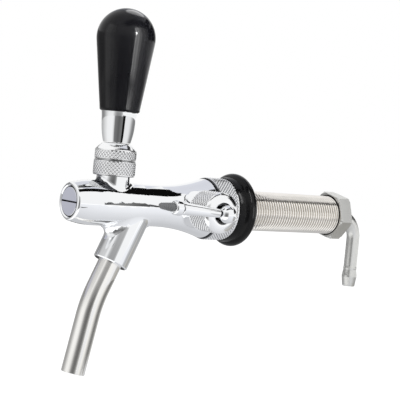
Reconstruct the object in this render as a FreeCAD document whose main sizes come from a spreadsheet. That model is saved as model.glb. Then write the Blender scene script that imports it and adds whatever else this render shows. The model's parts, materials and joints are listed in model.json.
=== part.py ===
import FreeCAD, Part
import Sketcher
import math
import os

# Flow control beer faucet on a long threaded shank.
# The origin is on the shank's axis at the wall face. +Y runs back through the wall,
# +X is the flow lever's side and +Z is up. Lengths are in millimetres, angles in degrees.

Vector = FreeCAD.Vector

# Driving dimensions
SIZES = {
    # clearances
    "FitGap": 0.05,            # radial running fit
    "SideGap": 0.3,            # free gap between neighbouring turned parts
    "RingGap": 0.1,            # end play of retained rings
    # shank behind the body
    "ShankRad": 11.45,         # G5/8 thread, over its crests
    "ShankBoreRad": 5.0,
    "ShankRear": 80.0,         # length behind the wall face
    "ShankEdge": 0.8,
    "FunnelLen": 6.0,          # widening at the front of the bore
    # wall flange
    "FlangeRad": 20.7,
    "FlangeDepth": 11.7,
    "FlangeWaist": 4.1,        # widest place, in front of the wall
    "FlangeFoot": 17.6,
    "FlangeMouthRad": 17.8,
    "FlangeWall": 2.4,
    "FlangeHubWall": 2.2,
    "FlangeTop": 3.0,          # solid thickness under its front face
    # coupling nut and what it clamps
    "CouplingRad": 17.5,
    "CouplingLen": 12.9,
    "CouplingLip": 2.2,
    "CouplingEdge": 0.8,
    "SnapThick": 1.2,
    "SnapRad": 10.3,
    "SnapDepth": 0.5,
    "TailRad": 9.6,            # body's spigot inside the coupling nut
    "TailLand": 0.8,
    "TailBoreRad": 7.8,
    "GasketThick": 1.4,
    # body
    "BodyLen": 86.7,           # nose to bell
    "NoseRad": 10.2,
    "NoseRound": 1.6,
    "BarrelRad": 11.95,
    "BarrelPeak": 14.6,        # widest place, from the nose
    "WaistRad": 11.3,
    "WaistFront": 43.5,        # from the nose
    "FlareLen": 31.1,
    "BellRad": 16.5,
    "BellRound": 1.2,
    "NeckBlend": 3.2,
    "SocketBlend": 5.0,
    "BranchBlend": 1.4,
    # bores along the body
    "PlugRad": 8.0,
    "PlugLen": 5.8,
    "PlugRecess": 0.3,
    "PlugEdge": 0.6,
    "SlotWidth": 0.9,
    "SlotDepth": 1.6,
    "PlugSealThick": 1.0,
    "PlugSealBore": 5.2,
    "ChamberRad": 7.0,
    "SeatFront": 46.6,         # from the nose to the seat's wall
    "SeatWall": 2.5,
    "SeatRad": 4.1,
    "SealRoomRad": 6.6,
    "SealRoomLen": 13.5,
    "ThroatRad": 5.4,
    # neck, lever ball and nuts on it
    "NeckSetback": 26.2,       # from the nose
    "NeckRad": 9.0,
    "NeckBoreRad": 7.5,
    "NeckFoot": 14.6,          # height of the ball seat's ledge
    "NeckTop": 24.6,
    "NeckPassRad": 6.9,
    "NeckThreadRad": 8.9,
    "LockRingRad": 11.2,
    "LockRingLen": 8.2,
    "LockRingRise": 0.2,
    "RingEdge": 0.5,
    "BonnetRad": 11.05,
    "BonnetRoof": 25.7,
    "DomeRad": 13.25,          # shoulder, about the ball's centre
    "BallHeight": 21.0,
    "BallRad": 6.0,
    "BallSeatLen": 4.0,
    "BallSeatBore": 4.5,
    "BallRingWire": 0.8,
    "FrictionThick": 1.3,
    "FrictionBore": 4.7,
    "TiltMax": 20.0,
    "FingerRad": 1.4,
    "FingerTipRad": 2.1,
    "StemRad": 2.5,
    "StudRad": 4.0,
    "StudFoot": 35.2,
    "StudInset": 2.6,          # from the insert's top down to the stud's end
    # handle
    "FerruleFootRad": 7.2,
    "FerruleWaistRad": 8.8,
    "FerruleWaist": 42.0,
    "FerruleRad": 9.5,
    "FerruleTop": 48.6,
    "GripFootRad": 10.7,
    "GripFootRound": 1.4,
    "GripBallRad": 15.6,
    "GripBallHeight": 87.5,
    "InsertRad": 6.4,
    "InsertLen": 18.0,
    "InsertFlangeRad": 8.4,
    "InsertFlange": 1.2,
    # plunger
    "GuideFront": 10.1,        # from the nose
    "GuideLen": 10.0,
    "GuideRingWire": 0.9,
    "YokeRad": 4.6,
    "YokeLen": 12.0,
    "YokePocket": 2.3,         # half the pocket's width
    "YokeFlare": 24.0,
    "YokeFlareFoot": 1.4,
    "YokeFloor": 2.9,
    "RodRad": 2.5,
    "RodEndRad": 2.0,
    "SealRad": 5.0,
    "SealThick": 2.2,
    "RetainerRad": 4.3,
    "RetainerThick": 1.0,
    "SealNutFlats": 7.0,
    "SealNutLen": 2.0,
    "RodOverhang": 0.5,
    # spout
    "SpoutSetback": 43.1,      # from the nose
    "SpoutLean": 24.3,
    "SocketRad": 9.55,
    "SocketReach": 34.8,
    "SocketEdge": 0.6,
    "SpoutBoreRad": 5.2,
    "SpoutRad": 6.35,          # half-inch tube
    "SpoutWall": 0.9,
    "SpoutSeat": 14.0,         # depth of the tube in the socket
    "SpoutRingWire": 0.9,
    "SpoutRingSet": 5.0,
    "SpoutBend": 57.6,         # from the body's axis to the bend's corner
    "SpoutEndLean": 11.3,
    "SpoutBendRad": 70.0,
    "SpoutEnd": 38.6,          # from the bend's corner to the open end
    # flow control branch
    "BranchInset": 11.2,       # in front of the bell's face
    "BranchRad": 10.4,
    "BranchReach": 17.3,
    "SpigotRad": 8.6,
    "SpigotReach": 28.0,
    "SpindleRad": 5.0,
    "SpindleInner": 7.6,
    "SpindleRingWire": 0.8,
    "SpindleRingFirst": 14.5,
    "SpindleRingPitch": 6.0,
    "CollarRad": 7.4,
    "CollarThick": 1.8,
    "GlandSealThick": 0.8,
    "GlandRad": 11.2,
    "GlandFace": 1.25,         # thickness of its face over the washer
    "GlandDome": 1.9,
    "GlandMouthRad": 5.8,
    "HeadNeckRad": 4.0,
    "HeadStand": 3.1,          # the head's centre in front of the nut's mouth
    "HeadRad": 4.8,
    "PinOffset": 3.0,
    "PinRad": 1.4,
    "PinInner": 3.1,
    "PinPlay": 0.25,
    # flow lever
    "LeverLean": 3.75,
    "LeverSocket": 2.4,        # depth of the rod's stud in the head
    "LeverStudRad": 1.8,
    "LeverNeck": 1.6,          # bare stud between head and rod
    "LeverRootRad": 2.4,
    "LeverEndRad": 3.3,
    "LeverEnd": 30.3,          # from the spindle's axis
    "KnobRad": 3.95,
    "KnobLen": 5.4,
    "KnobGroove": 0.5,
    "TipRad": 2.4,
    "TipEndRad": 1.4,
    "TipLen": 8.7,
    "TenonRad": 1.5,
    "TenonLen": 3.0,
    # compensator
    "ConeNose": 20.0,          # in front of the bell's face
    "ConeNoseRad": 4.3,
    "ConeTailRad": 6.9,
    "ConeSlotFloor": 2.6,
    # lock nut
    "LockNutFlats": 25.4,
    "LockNutLen": 9.0,
    "LockNutFront": 69.7,
    "LockNutTurn": 48.0,
    "LockNutEdge": 1.0,
    "LockNutSink": 0.7,        # countersink of its bore at both faces
    # hose tail
    "TailTubeRad": 4.0,
    "TailTubeWall": 1.0,
    "TailSocket": 12.0,
    "TailStraight": 0.3,
    "TailBendRad": 14.0,
    "TailDrop": 43.3,
    "BarbRad": 4.6,
    "BarbLen": 11.6,
    "BarbPeak": 5.7,
    "BarbLand": 1.2,
}


class Size:
    """A length or an angle: its value, and the sheet expression that gives it."""

    def __init__(self, value, text):
        self.value = float(value)
        self.text = text

    def __add__(self, other):
        other = as_size(other)
        return Size(self.value + other.value, f"({self.text} + {other.text})")

    def __radd__(self, other):
        return as_size(other) + self

    def __sub__(self, other):
        other = as_size(other)
        return Size(self.value - other.value, f"({self.text} - {other.text})")

    def __rsub__(self, other):
        return as_size(other) - self

    def __mul__(self, other):
        other = as_size(other)
        return Size(self.value * other.value, f"({self.text} * {other.text})")

    def __rmul__(self, other):
        return as_size(other) * self

    def __truediv__(self, other):
        other = as_size(other)
        return Size(self.value / other.value, f"({self.text} / {other.text})")

    def __neg__(self):
        return Size(-self.value, f"(0 - {self.text})")


def as_size(number):
    return number if isinstance(number, Size) else Size(number, f"{number:.10g}")


def root(number):
    return Size(math.sqrt(number.value), f"sqrt({number.text})")


def sine(angle):
    return Size(math.sin(math.radians(angle.value)), f"sin({angle.text})")


def cosine(angle):
    return Size(math.cos(math.radians(angle.value)), f"cos({angle.text})")


def tangent(angle):
    return Size(math.tan(math.radians(angle.value)), f"tan({angle.text})")


class Sheet:
    """The driving dimensions as a sheet, and each of them as a Size."""

    def __init__(self, document):
        self.sheet = document.addObject("Spreadsheet::Sheet", "dims")
        for row, (name, value) in enumerate(SIZES.items(), start=1):
            self.sheet.set(f"A{row}", name)
            self.sheet.set(f"B{row}", str(value))
            self.sheet.setAlias(f"B{row}", name)
            setattr(self, name, Size(value, f"dims.{name}"))


doc = FreeCAD.newDocument("beer_faucet")
d = Sheet(doc)
doc.recompute()
parts = []


# Bodies and sketches

def new_body(label, at=(0, 0, 0), turn=None):
    """A sub-part of its own, placed at three sizes and turned about X, Y or Z."""
    body = doc.addObject("PartDesign::Body", label)
    body.Label = label
    if turn:
        axis, angle = turn
        body.Placement = FreeCAD.Placement(Vector(0, 0, 0), FreeCAD.Rotation(axis, angle.value))
        body.setExpression("Placement.Rotation.Angle", angle.text)
    for name, place in zip("xyz", at):
        if isinstance(place, Size):
            body.setExpression(f"Placement.Base.{name}", place.text)
    parts.append(body)
    return body


def new_sketch(body, plane, name, at=(0, 0, 0), turn=None):
    """A sketch on one of its body's own planes, shifted and turned in that plane."""
    sketch = body.newObject("Sketcher::SketchObject", name)
    support = [item for item in body.Origin.OriginFeatures if item.Role == plane][0]
    sketch.AttachmentSupport = [(support, "")]
    sketch.MapMode = "FlatFace"
    if turn:
        offset = FreeCAD.Rotation(Vector(0, 0, 1), turn.value)
        sketch.AttachmentOffset = FreeCAD.Placement(Vector(0, 0, 0), offset)
        sketch.setExpression("AttachmentOffset.Rotation.Angle", turn.text)
    for axis, place in zip("xyz", at):
        if isinstance(place, Size):
            sketch.setExpression(f"AttachmentOffset.Base.{axis}", place.text)
    return sketch


def hold_point(rules, geometry, position, x, y):
    """Rules that keep one end of a sketch edge at x, y."""
    for number, kind, axis in ((x, "DistanceX", -2), (y, "DistanceY", -1)):
        if isinstance(number, Size):
            rule = Sketcher.Constraint(kind, -1, 1, geometry, position, number.value)
            rules.append((rule, number))
        elif number == 0:
            rules.append((Sketcher.Constraint("PointOnObject", geometry, position, axis), None))
        else:
            rules.append((Sketcher.Constraint(kind, -1, 1, geometry, position, float(number)), None))


def apply_rules(sketch, rules):
    indices = sketch.addConstraint([rule for rule, size in rules])
    for index, (rule, size) in zip(indices, rules):
        if size is not None:
            sketch.setExpression(f"Constraints[{index}]", size.text)


def point_of(corner):
    return Vector(as_size(corner[0]).value, as_size(corner[1]).value, 0)


def arc_edge(start, end, radius, side):
    """The short arc from start to end that bulges to its left (side 1) or right (side -1)."""
    chord = end - start
    across = Vector(-chord.y, chord.x, 0).normalize()
    depth = math.sqrt(max(radius ** 2 - (chord.Length / 2) ** 2, 0))
    centre = (start + end) * 0.5 - across * (side * depth)
    first, last = (start, end) if side < 0 else (end, start)
    angles = [math.atan2(point.y - centre.y, point.x - centre.x) for point in (first, last)]
    return Part.ArcOfCircle(Part.Circle(centre, Vector(0, 0, 1), radius), angles[0], angles[1])


def draw_outline(sketch, corners):
    """A closed outline. A corner is (x, y), or (x, y, radius, side) where an arc leads on."""
    edges = []
    rules = []
    ends = []
    for index, corner in enumerate(corners):
        start = point_of(corner)
        end = point_of(corners[(index + 1) % len(corners)])
        if len(corner) == 2:
            edges.append(Part.LineSegment(start, end))
            ends.append((1, 2))
        else:
            radius, side = corner[2], corner[3]
            edges.append(arc_edge(start, end, radius.value, side))
            rules.append((Sketcher.Constraint("Radius", index, radius.value), radius))
            ends.append((1, 2) if side < 0 else (2, 1))
    sketch.addGeometry(edges, False)
    for index, corner in enumerate(corners):
        following = (index + 1) % len(corners)
        joint = Sketcher.Constraint("Coincident", index, ends[index][1], following, ends[following][0])
        rules.append((joint, None))
        hold_point(rules, index, ends[index][0], corner[0], corner[1])
    apply_rules(sketch, rules)


def draw_circles(sketch, circles):
    """Whole circles, each (x, y, radius)."""
    rules = []
    for index, (x, y, radius) in enumerate(circles):
        centre = point_of((x, y))
        sketch.addGeometry(Part.Circle(centre, Vector(0, 0, 1), radius.value), False)
        rules.append((Sketcher.Constraint("Radius", index, radius.value), radius))
        hold_point(rules, index, 3, x, y)
    apply_rules(sketch, rules)


def draw_path(sketch, corners):
    """An open path of lines and arcs, written as draw_outline's corners."""
    edges = []
    rules = []
    ends = []
    for index, corner in enumerate(corners[:-1]):
        start = point_of(corner)
        end = point_of(corners[index + 1])
        if len(corner) == 2:
            edges.append(Part.LineSegment(start, end))
            ends.append((1, 2))
        else:
            radius, side = corner[2], corner[3]
            edges.append(arc_edge(start, end, radius.value, side))
            rules.append((Sketcher.Constraint("Radius", index, radius.value), radius))
            ends.append((1, 2) if side < 0 else (2, 1))
    sketch.addGeometry(edges, False)
    for index, corner in enumerate(corners[:-1]):
        hold_point(rules, index, ends[index][0], corner[0], corner[1])
        if index:
            joint = Sketcher.Constraint("Coincident", index - 1, ends[index - 1][1], index, ends[index][0])
            rules.append((joint, None))
    last = len(corners) - 2
    hold_point(rules, last, ends[last][1], corners[-1][0], corners[-1][1])
    apply_rules(sketch, rules)


# Features

def spin(body, sketch, name, axis="V_Axis", cut=False):
    """A full turn of the sketch about its own upright (V) or level (H) axis."""
    kind = "PartDesign::Groove" if cut else "PartDesign::Revolution"
    feature = body.newObject(kind, name)
    feature.Profile = sketch
    feature.ReferenceAxis = (sketch, [axis])
    feature.Angle = 360
    return feature


def pad(body, sketch, name, length, both=False, back=False):
    feature = body.newObject("PartDesign::Pad", name)
    feature.Profile = sketch
    feature.SideType = "Symmetric" if both else "One side"
    feature.Reversed = back
    feature.setExpression("Length", length.text)
    return feature


def pocket(body, sketch, name, length, both=False, back=False):
    feature = body.newObject("PartDesign::Pocket", name)
    feature.Profile = sketch
    feature.SideType = "Symmetric" if both else "One side"
    feature.Reversed = back
    feature.setExpression("Length", length.text)
    return feature


def spin_piece(label, plane, axis, corners, at=(0, 0, 0)):
    """A piece turned from one closed outline."""
    body = new_body(label, at)
    sketch = new_sketch(body, plane, label + "_outline")
    draw_outline(sketch, corners)
    spin(body, sketch, label + "_turned", axis)
    return body


def ring_piece(label, plane, axis, circles, at=(0, 0, 0)):
    """O-rings: one turned wire circle for each (x, y, radius)."""
    body = new_body(label, at)
    for index, circle in enumerate(circles):
        sketch = new_sketch(body, plane, f"{label}_wire_{index}")
        draw_circles(sketch, [circle])
        spin(body, sketch, f"{label}_ring_{index}", axis)
    body.AllowCompound = True
    return body


def edges_at(shape, test):
    """Names of the edges whose every sample point passes the test."""
    names = []
    for index, edge in enumerate(shape.Edges, start=1):
        samples = edge.discretize(Number=9)
        if all(test(point) for point in samples):
            names.append(f"Edge{index}")
    return names


def fillet(body, base, name, radius, test):
    feature = body.newObject("PartDesign::Fillet", name)
    feature.Base = (base, edges_at(base.Shape, test))
    feature.setExpression("Radius", radius.text)
    return feature


# Places along the body's axis, worked out from the wall face forward
coupling_rear = -d.FlangeDepth
coupling_front = coupling_rear - d.CouplingLen
bell_face = coupling_front - d.SideGap
lip_rear = coupling_front + d.CouplingLip
snap_front = lip_rear + d.RingGap
snap_rear = snap_front + d.SnapThick
tail_end = snap_rear + d.TailLand
shank_front = tail_end + d.GasketThick
nose = bell_face - d.BodyLen
neck_y = nose + d.NeckSetback
spout_y = nose + d.SpoutSetback
branch_y = bell_face - d.BranchInset
seat_front = nose + d.SeatFront
seat_rear = seat_front + d.SeatWall
plug_front = nose + d.PlugRecess
plug_rear = plug_front + d.PlugLen
chamber_front = plug_rear + d.PlugSealThick
waist_front = nose + d.WaistFront
flare_front = bell_face - d.FlareLen
plug_bore = d.PlugRad + d.FitGap
insert_top = d.FerruleTop + d.InsertLen
stud_top = insert_top - d.StudInset
collar_inner = d.SpigotReach + d.FitGap
collar_outer = collar_inner + d.CollarThick
gland_roof = collar_outer + d.GlandSealThick + d.FitGap
gland_rim = gland_roof + d.GlandFace
gland_mouth = gland_rim + d.RingEdge + d.GlandDome
head_x = gland_mouth + d.HeadStand


# Faucet body: one casting with a barrel, a neck, a spout socket and a flow branch

def make_body():
    body = new_body("faucet_body")
    rise = d.BellRad - d.WaistRad
    flare_rad = (d.FlareLen * d.FlareLen + rise * rise) / (2 * rise)
    reach = d.BarrelPeak - d.NoseRound
    lift = d.BarrelRad - d.NoseRad
    bulge_rad = (reach * reach + lift * lift) / (2 * lift)
    drop = d.BarrelRad - d.WaistRad
    run = d.WaistFront - d.BarrelPeak
    fall_rad = (run * run + drop * drop) / (2 * drop)
    sketch = new_sketch(body, "XY_Plane", "barrel_outline")
    draw_outline(sketch, [
        (0, nose),
        (d.NoseRad - d.NoseRound, nose, d.NoseRound, -1),
        (d.NoseRad, nose + d.NoseRound, bulge_rad, -1),
        (d.BarrelRad, nose + d.BarrelPeak, fall_rad, -1),
        (d.WaistRad, waist_front),
        (d.WaistRad, flare_front, flare_rad, 1),
        (d.BellRad, bell_face - d.BellRound, d.BellRound, -1),
        (d.BellRad - d.BellRound, bell_face),
        (d.TailRad, bell_face),
        (d.TailRad, tail_end),
        (0, tail_end),
    ])
    spin(body, sketch, "barrel")

    neck = new_sketch(body, "XY_Plane", "neck_circle")
    draw_circles(neck, [(0, neck_y, d.NeckRad)])
    pad(body, neck, "neck", d.NeckFoot)

    socket = new_sketch(body, "YZ_Plane", "socket_outline", (spout_y, 0, 0), -d.SpoutLean)
    draw_outline(socket, [
        (0, 0),
        (0, -d.SocketReach),
        (d.SocketRad - d.SocketEdge, -d.SocketReach),
        (d.SocketRad, d.SocketEdge - d.SocketReach),
        (d.SocketRad, 0),
    ])
    spin(body, socket, "spout_socket")

    branch = new_sketch(body, "YZ_Plane", "branch_circle")
    draw_circles(branch, [(branch_y, 0, d.BranchRad)])
    boss = pad(body, branch, "flow_branch", d.BranchReach)
    doc.recompute()

    blend = fillet(body, boss, "neck_blend", d.NeckBlend, on_neck_seam)
    doc.recompute()
    blend = fillet(body, blend, "socket_blend", d.SocketBlend, on_socket_seam)
    doc.recompute()
    fillet(body, blend, "branch_blend", d.BranchBlend, on_branch_seam)
    doc.recompute()

    neck_thread = new_sketch(body, "XY_Plane", "neck_thread_circle")
    draw_circles(neck_thread, [(0, neck_y, d.NeckThreadRad)])
    pad(body, neck_thread, "neck_thread", d.NeckTop)

    spigot = new_sketch(body, "YZ_Plane", "spigot_circle")
    draw_circles(spigot, [(branch_y, 0, d.SpigotRad)])
    pad(body, spigot, "branch_spigot", d.SpigotReach)

    bore = new_sketch(body, "XY_Plane", "body_bore_outline")
    draw_outline(bore, [
        (0, nose),
        (plug_bore + d.PlugEdge, nose),
        (plug_bore, nose + d.PlugEdge),
        (plug_bore, chamber_front),
        (d.ChamberRad, chamber_front),
        (d.ChamberRad, seat_front),
        (d.SeatRad, seat_front),
        (d.SeatRad, seat_rear),
        (d.SealRoomRad, seat_rear),
        (d.SealRoomRad, seat_rear + d.SealRoomLen),
        (d.ThroatRad, seat_rear + d.SealRoomLen),
        (d.TailBoreRad, bell_face),
        (d.TailBoreRad, tail_end),
        (0, tail_end),
    ])
    spin(body, bore, "body_bore", cut=True)

    neck_bore = new_sketch(body, "XZ_Plane", "neck_bore_outline", (0, 0, -neck_y))
    draw_outline(neck_bore, [
        (0, 0),
        (d.NeckPassRad, 0),
        (d.NeckPassRad, d.NeckFoot),
        (d.NeckBoreRad, d.NeckFoot),
        (d.NeckBoreRad, d.NeckTop),
        (0, d.NeckTop),
    ])
    spin(body, neck_bore, "neck_bore", cut=True)

    spout_bore = new_sketch(body, "YZ_Plane", "spout_bore_outline", (spout_y, 0, 0), -d.SpoutLean)
    tube_rad = d.SpoutRad + d.FitGap
    tube_stop = d.SpoutSeat - d.SocketReach
    draw_outline(spout_bore, [
        (0, 0),
        (0, -d.SocketReach),
        (tube_rad, -d.SocketReach),
        (tube_rad, tube_stop),
        (d.SpoutBoreRad, tube_stop),
        (d.SpoutBoreRad, 0),
    ])
    spin(body, spout_bore, "spout_bore", cut=True)

    ring_groove = new_sketch(body, "YZ_Plane", "spout_ring_groove", (spout_y, 0, 0), -d.SpoutLean)
    ring_place = d.SpoutRingSet - d.SocketReach
    groove_depth = d.SpoutRad + 2 * d.SpoutRingWire + d.FitGap
    draw_outline(ring_groove, [
        (d.SpoutRad, ring_place - d.SpoutRingWire - d.RingGap),
        (groove_depth, ring_place - d.SpoutRingWire - d.RingGap),
        (groove_depth, ring_place + d.SpoutRingWire + d.RingGap),
        (d.SpoutRad, ring_place + d.SpoutRingWire + d.RingGap),
    ])
    spin(body, ring_groove, "spout_ring_seat", cut=True)

    spindle_bore = new_sketch(body, "YZ_Plane", "spindle_bore_circle")
    draw_circles(spindle_bore, [(branch_y, 0, d.SpindleRad + d.FitGap)])
    pocket(body, spindle_bore, "spindle_bore", d.SpigotReach, back=True)

    snap_groove = new_sketch(body, "XY_Plane", "snap_groove_outline")
    draw_outline(snap_groove, [
        (d.TailRad - d.SnapDepth, snap_front),
        (d.TailRad + d.SideGap, snap_front),
        (d.TailRad + d.SideGap, snap_rear),
        (d.TailRad - d.SnapDepth, snap_rear),
    ])
    spin(body, snap_groove, "snap_groove", cut=True)


def near(number, size):
    return abs(number - size.value) < 0.01


def on_neck_seam(point):
    """True where the neck leaves the barrel."""
    aside = math.hypot(point.x, point.y - neck_y.value)
    return near(aside, d.NeckRad) and 1 < point.z < d.NeckFoot.value - 0.01


def on_socket_seam(point):
    """True where the spout socket leaves the barrel."""
    down = Vector(0, -math.sin(math.radians(d.SpoutLean.value)), -math.cos(math.radians(d.SpoutLean.value)))
    arm = point - Vector(0, spout_y.value, 0)
    reach = arm.dot(down)
    aside = (arm - down * reach).Length
    return near(aside, d.SocketRad) and 1 < reach < d.SocketReach.value - 2 * d.SocketEdge.value


def on_branch_seam(point):
    """True where the flow branch leaves the barrel."""
    aside = math.hypot(point.y - branch_y.value, point.z)
    return near(aside, d.BranchRad) and 1 < point.x < d.BranchReach.value - 0.01


make_body()


# Front plug: slotted screw plug on a flat seal

plug = spin_piece("front_plug", "XY_Plane", "V_Axis", [
    (0, 0),
    (d.PlugRad - d.PlugEdge, 0),
    (d.PlugRad, d.PlugEdge),
    (d.PlugRad, d.PlugLen),
    (0, d.PlugLen),
], (0, plug_front, 0))
slot = new_sketch(plug, "XY_Plane", "plug_slot_outline")
draw_outline(slot, [
    (-d.PlugRad, -d.SlotDepth),
    (d.PlugRad, -d.SlotDepth),
    (d.PlugRad, d.SlotDepth),
    (-d.PlugRad, d.SlotDepth),
])
pocket(plug, slot, "plug_slot", d.SlotWidth, both=True)

spin_piece("front_plug_seal", "XY_Plane", "V_Axis", [
    (d.PlugSealBore, 0),
    (d.PlugRad, 0),
    (d.PlugRad, d.PlugSealThick),
    (d.PlugSealBore, d.PlugSealThick),
], (0, plug_rear, 0))


# Neck: ball seat, ball seal, friction washer, lock ring and bonnet nut

ball_fit = d.BallRad + d.FitGap


def below_ball(radius):
    """How far under the ball's centre its seat has this radius."""
    return root(ball_fit * ball_fit - radius * radius)


seat_rim = d.NeckFoot + d.BallSeatLen
seat_rim_rad = root(ball_fit * ball_fit - (d.BallHeight - seat_rim) * (d.BallHeight - seat_rim))
spin_piece("ball_seat", "XZ_Plane", "V_Axis", [
    (d.BallSeatBore, d.NeckFoot),
    (d.NeckBoreRad - d.FitGap, d.NeckFoot),
    (d.NeckBoreRad - d.FitGap, seat_rim),
    (seat_rim_rad, seat_rim, ball_fit, 1),
    (d.BallSeatBore, d.BallHeight - below_ball(d.BallSeatBore)),
], (0, neck_y, 0))

ball_ring_rad = d.NeckBoreRad - d.FitGap - d.BallRingWire
ball_ring_reach = ball_fit + d.BallRingWire
ball_ring_z = d.BallHeight + root(ball_ring_reach * ball_ring_reach - ball_ring_rad * ball_ring_rad)
ring_piece("ball_oring", "XZ_Plane", "V_Axis", [
    (ball_ring_rad, ball_ring_z, d.BallRingWire),
], (0, neck_y, 0))

friction_top = d.BonnetRoof
friction_foot = friction_top - d.FrictionThick
friction_foot_rad = root(ball_fit * ball_fit
                         - (friction_foot - d.BallHeight) * (friction_foot - d.BallHeight))
spin_piece("friction_washer", "XZ_Plane", "V_Axis", [
    (friction_foot_rad, friction_foot),
    (d.NeckBoreRad - d.FitGap, friction_foot),
    (d.NeckBoreRad - d.FitGap, friction_top),
    (d.FrictionBore, friction_top),
    (d.FrictionBore, d.BallHeight + below_ball(d.FrictionBore), ball_fit, 1),
], (0, neck_y, 0))

lock_ring_foot = d.NeckFoot + d.LockRingRise
lock_ring_top = lock_ring_foot + d.LockRingLen
thread_bore = d.NeckThreadRad + d.FitGap
spin_piece("neck_lock_ring", "XZ_Plane", "V_Axis", [
    (thread_bore, lock_ring_foot),
    (d.LockRingRad - d.RingEdge, lock_ring_foot),
    (d.LockRingRad, lock_ring_foot + d.RingEdge),
    (d.LockRingRad, lock_ring_top - d.RingEdge),
    (d.LockRingRad - d.RingEdge, lock_ring_top),
    (thread_bore, lock_ring_top),
], (0, neck_y, 0))

bonnet_foot = lock_ring_top + d.SideGap
dome_foot = d.BallHeight + root(d.DomeRad * d.DomeRad - d.BonnetRad * d.BonnetRad)
stem_wall = d.StemRad / cosine(d.TiltMax) + d.SideGap
swing = tangent(d.TiltMax)
# The stem's cone of swing meets the dome here
mouth_root = root(d.DomeRad * d.DomeRad * (swing * swing + 1) - stem_wall * stem_wall)
mouth_rise = (mouth_root - stem_wall * swing) / (swing * swing + 1)
mouth_rad = stem_wall + mouth_rise * swing
spin_piece("bonnet_nut", "XZ_Plane", "V_Axis", [
    (thread_bore, bonnet_foot),
    (d.BonnetRad - d.RingEdge, bonnet_foot),
    (d.BonnetRad, bonnet_foot + d.RingEdge),
    (d.BonnetRad, dome_foot, d.DomeRad, -1),
    (mouth_rad, d.BallHeight + mouth_rise),
    (stem_wall + (d.BonnetRoof - d.BallHeight) * swing, d.BonnetRoof),
    (thread_bore, d.BonnetRoof),
], (0, neck_y, 0))


# Lever spindle: ball, finger below it and threaded stud above it

tip_join = root(d.FingerTipRad * d.FingerTipRad - d.FingerRad * d.FingerRad)
ball_join = root(d.BallRad * d.BallRad - d.FingerRad * d.FingerRad)
stem_join = root(d.BallRad * d.BallRad - d.StemRad * d.StemRad)
stud_edge = d.StudRad - d.StemRad
spin_piece("lever_spindle", "XZ_Plane", "V_Axis", [
    (0, -d.FingerTipRad, d.FingerTipRad, -1),
    (d.FingerTipRad, as_size(0) * d.FingerTipRad, d.FingerTipRad, -1),
    (d.FingerRad, tip_join),
    (d.FingerRad, d.BallHeight - ball_join, d.BallRad, -1),
    (d.BallRad, d.BallHeight, d.BallRad, -1),
    (d.StemRad, d.BallHeight + stem_join),
    (d.StemRad, d.StudFoot),
    (d.StudRad, d.StudFoot + stud_edge),
    (d.StudRad, stud_top - stud_edge),
    (d.StemRad, stud_top),
    (0, stud_top),
], (0, neck_y, 0))


# Handle: ferrule, insert and grip on the stud

ferrule_cup = d.DomeRad + d.SideGap
stud_bore = d.StudRad + d.FitGap
cup_foot = d.BallHeight + root(ferrule_cup * ferrule_cup - d.FerruleFootRad * d.FerruleFootRad)
cup_top = d.BallHeight + root(ferrule_cup * ferrule_cup - stud_bore * stud_bore)
lower = d.FerruleWaist - cup_foot
step = d.FerruleWaistRad - d.FerruleFootRad
ferrule_curve = (lower * lower + step * step) / (2 * step) * 1.3
spin_piece("handle_ferrule", "XZ_Plane", "V_Axis", [
    (stud_bore, cup_top, ferrule_cup, 1),
    (d.FerruleFootRad, cup_foot, ferrule_curve, 1),
    (d.FerruleWaistRad, d.FerruleWaist),
    (d.FerruleRad, d.FerruleTop),
    (stud_bore, d.FerruleTop),
], (0, neck_y, 0))

insert_foot = d.FerruleTop
spin_piece("handle_insert", "XZ_Plane", "V_Axis", [
    (stud_bore, insert_foot),
    (d.InsertFlangeRad, insert_foot),
    (d.InsertFlangeRad, insert_foot + d.InsertFlange),
    (d.InsertRad, insert_foot + d.InsertFlange),
    (d.InsertRad, insert_top),
    (stud_bore, insert_top),
], (0, neck_y, 0))

# The grip's cone is tangent to its round top
cone_rise = d.GripBallHeight - d.FerruleTop
cone_foot = d.GripFootRad
cone_reach = root(cone_rise * cone_rise + cone_foot * cone_foot)
tangent_len = root(cone_reach * cone_reach - d.GripBallRad * d.GripBallRad)
cone_cos = (cone_rise * tangent_len + cone_foot * d.GripBallRad) / (cone_reach * cone_reach)
cone_sin = (cone_rise * d.GripBallRad - cone_foot * tangent_len) / (cone_reach * cone_reach)
grip_tangent = (d.GripBallRad * cone_cos, d.GripBallHeight - d.GripBallRad * cone_sin)
grip_round = d.GripFootRound
grip_foot = cone_foot - grip_round * (1 - cone_sin) / cone_cos
insert_bore = d.InsertRad + d.FitGap
flange_bore = d.InsertFlangeRad + d.FitGap
flange_room = insert_foot + d.InsertFlange + d.FitGap
spin_piece("handle_grip", "XZ_Plane", "V_Axis", [
    (flange_bore, d.FerruleTop),
    (grip_foot, d.FerruleTop, grip_round, -1),
    (grip_foot + grip_round * cone_cos, d.FerruleTop + grip_round * (1 - cone_sin)),
    (grip_tangent[0], grip_tangent[1], d.GripBallRad, -1),
    (0, d.GripBallHeight + d.GripBallRad),
    (0, insert_top + d.RingGap),
    (insert_bore, insert_top + d.RingGap),
    (insert_bore, flange_room),
    (flange_bore, flange_room),
], (0, neck_y, 0))


# Plunger: front guide, yoke for the finger, rod and threaded rear end

guide_front = nose + d.GuideFront
guide_rear = guide_front + d.GuideLen
guide_rad = d.ChamberRad - d.FitGap
yoke_rear = guide_rear + d.YokeLen
ring_y = guide_front + d.GuideLen / 2
ring_foot = guide_rad - 2 * d.GuideRingWire
ring_half = d.GuideRingWire + d.RingGap
seal_front = seat_rear
seal_rear = seal_front + d.SealThick
retainer_rear = seal_rear + d.RetainerThick
seal_nut_rear = retainer_rear + d.SealNutLen
rod_end = seal_nut_rear + d.RodOverhang

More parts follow.
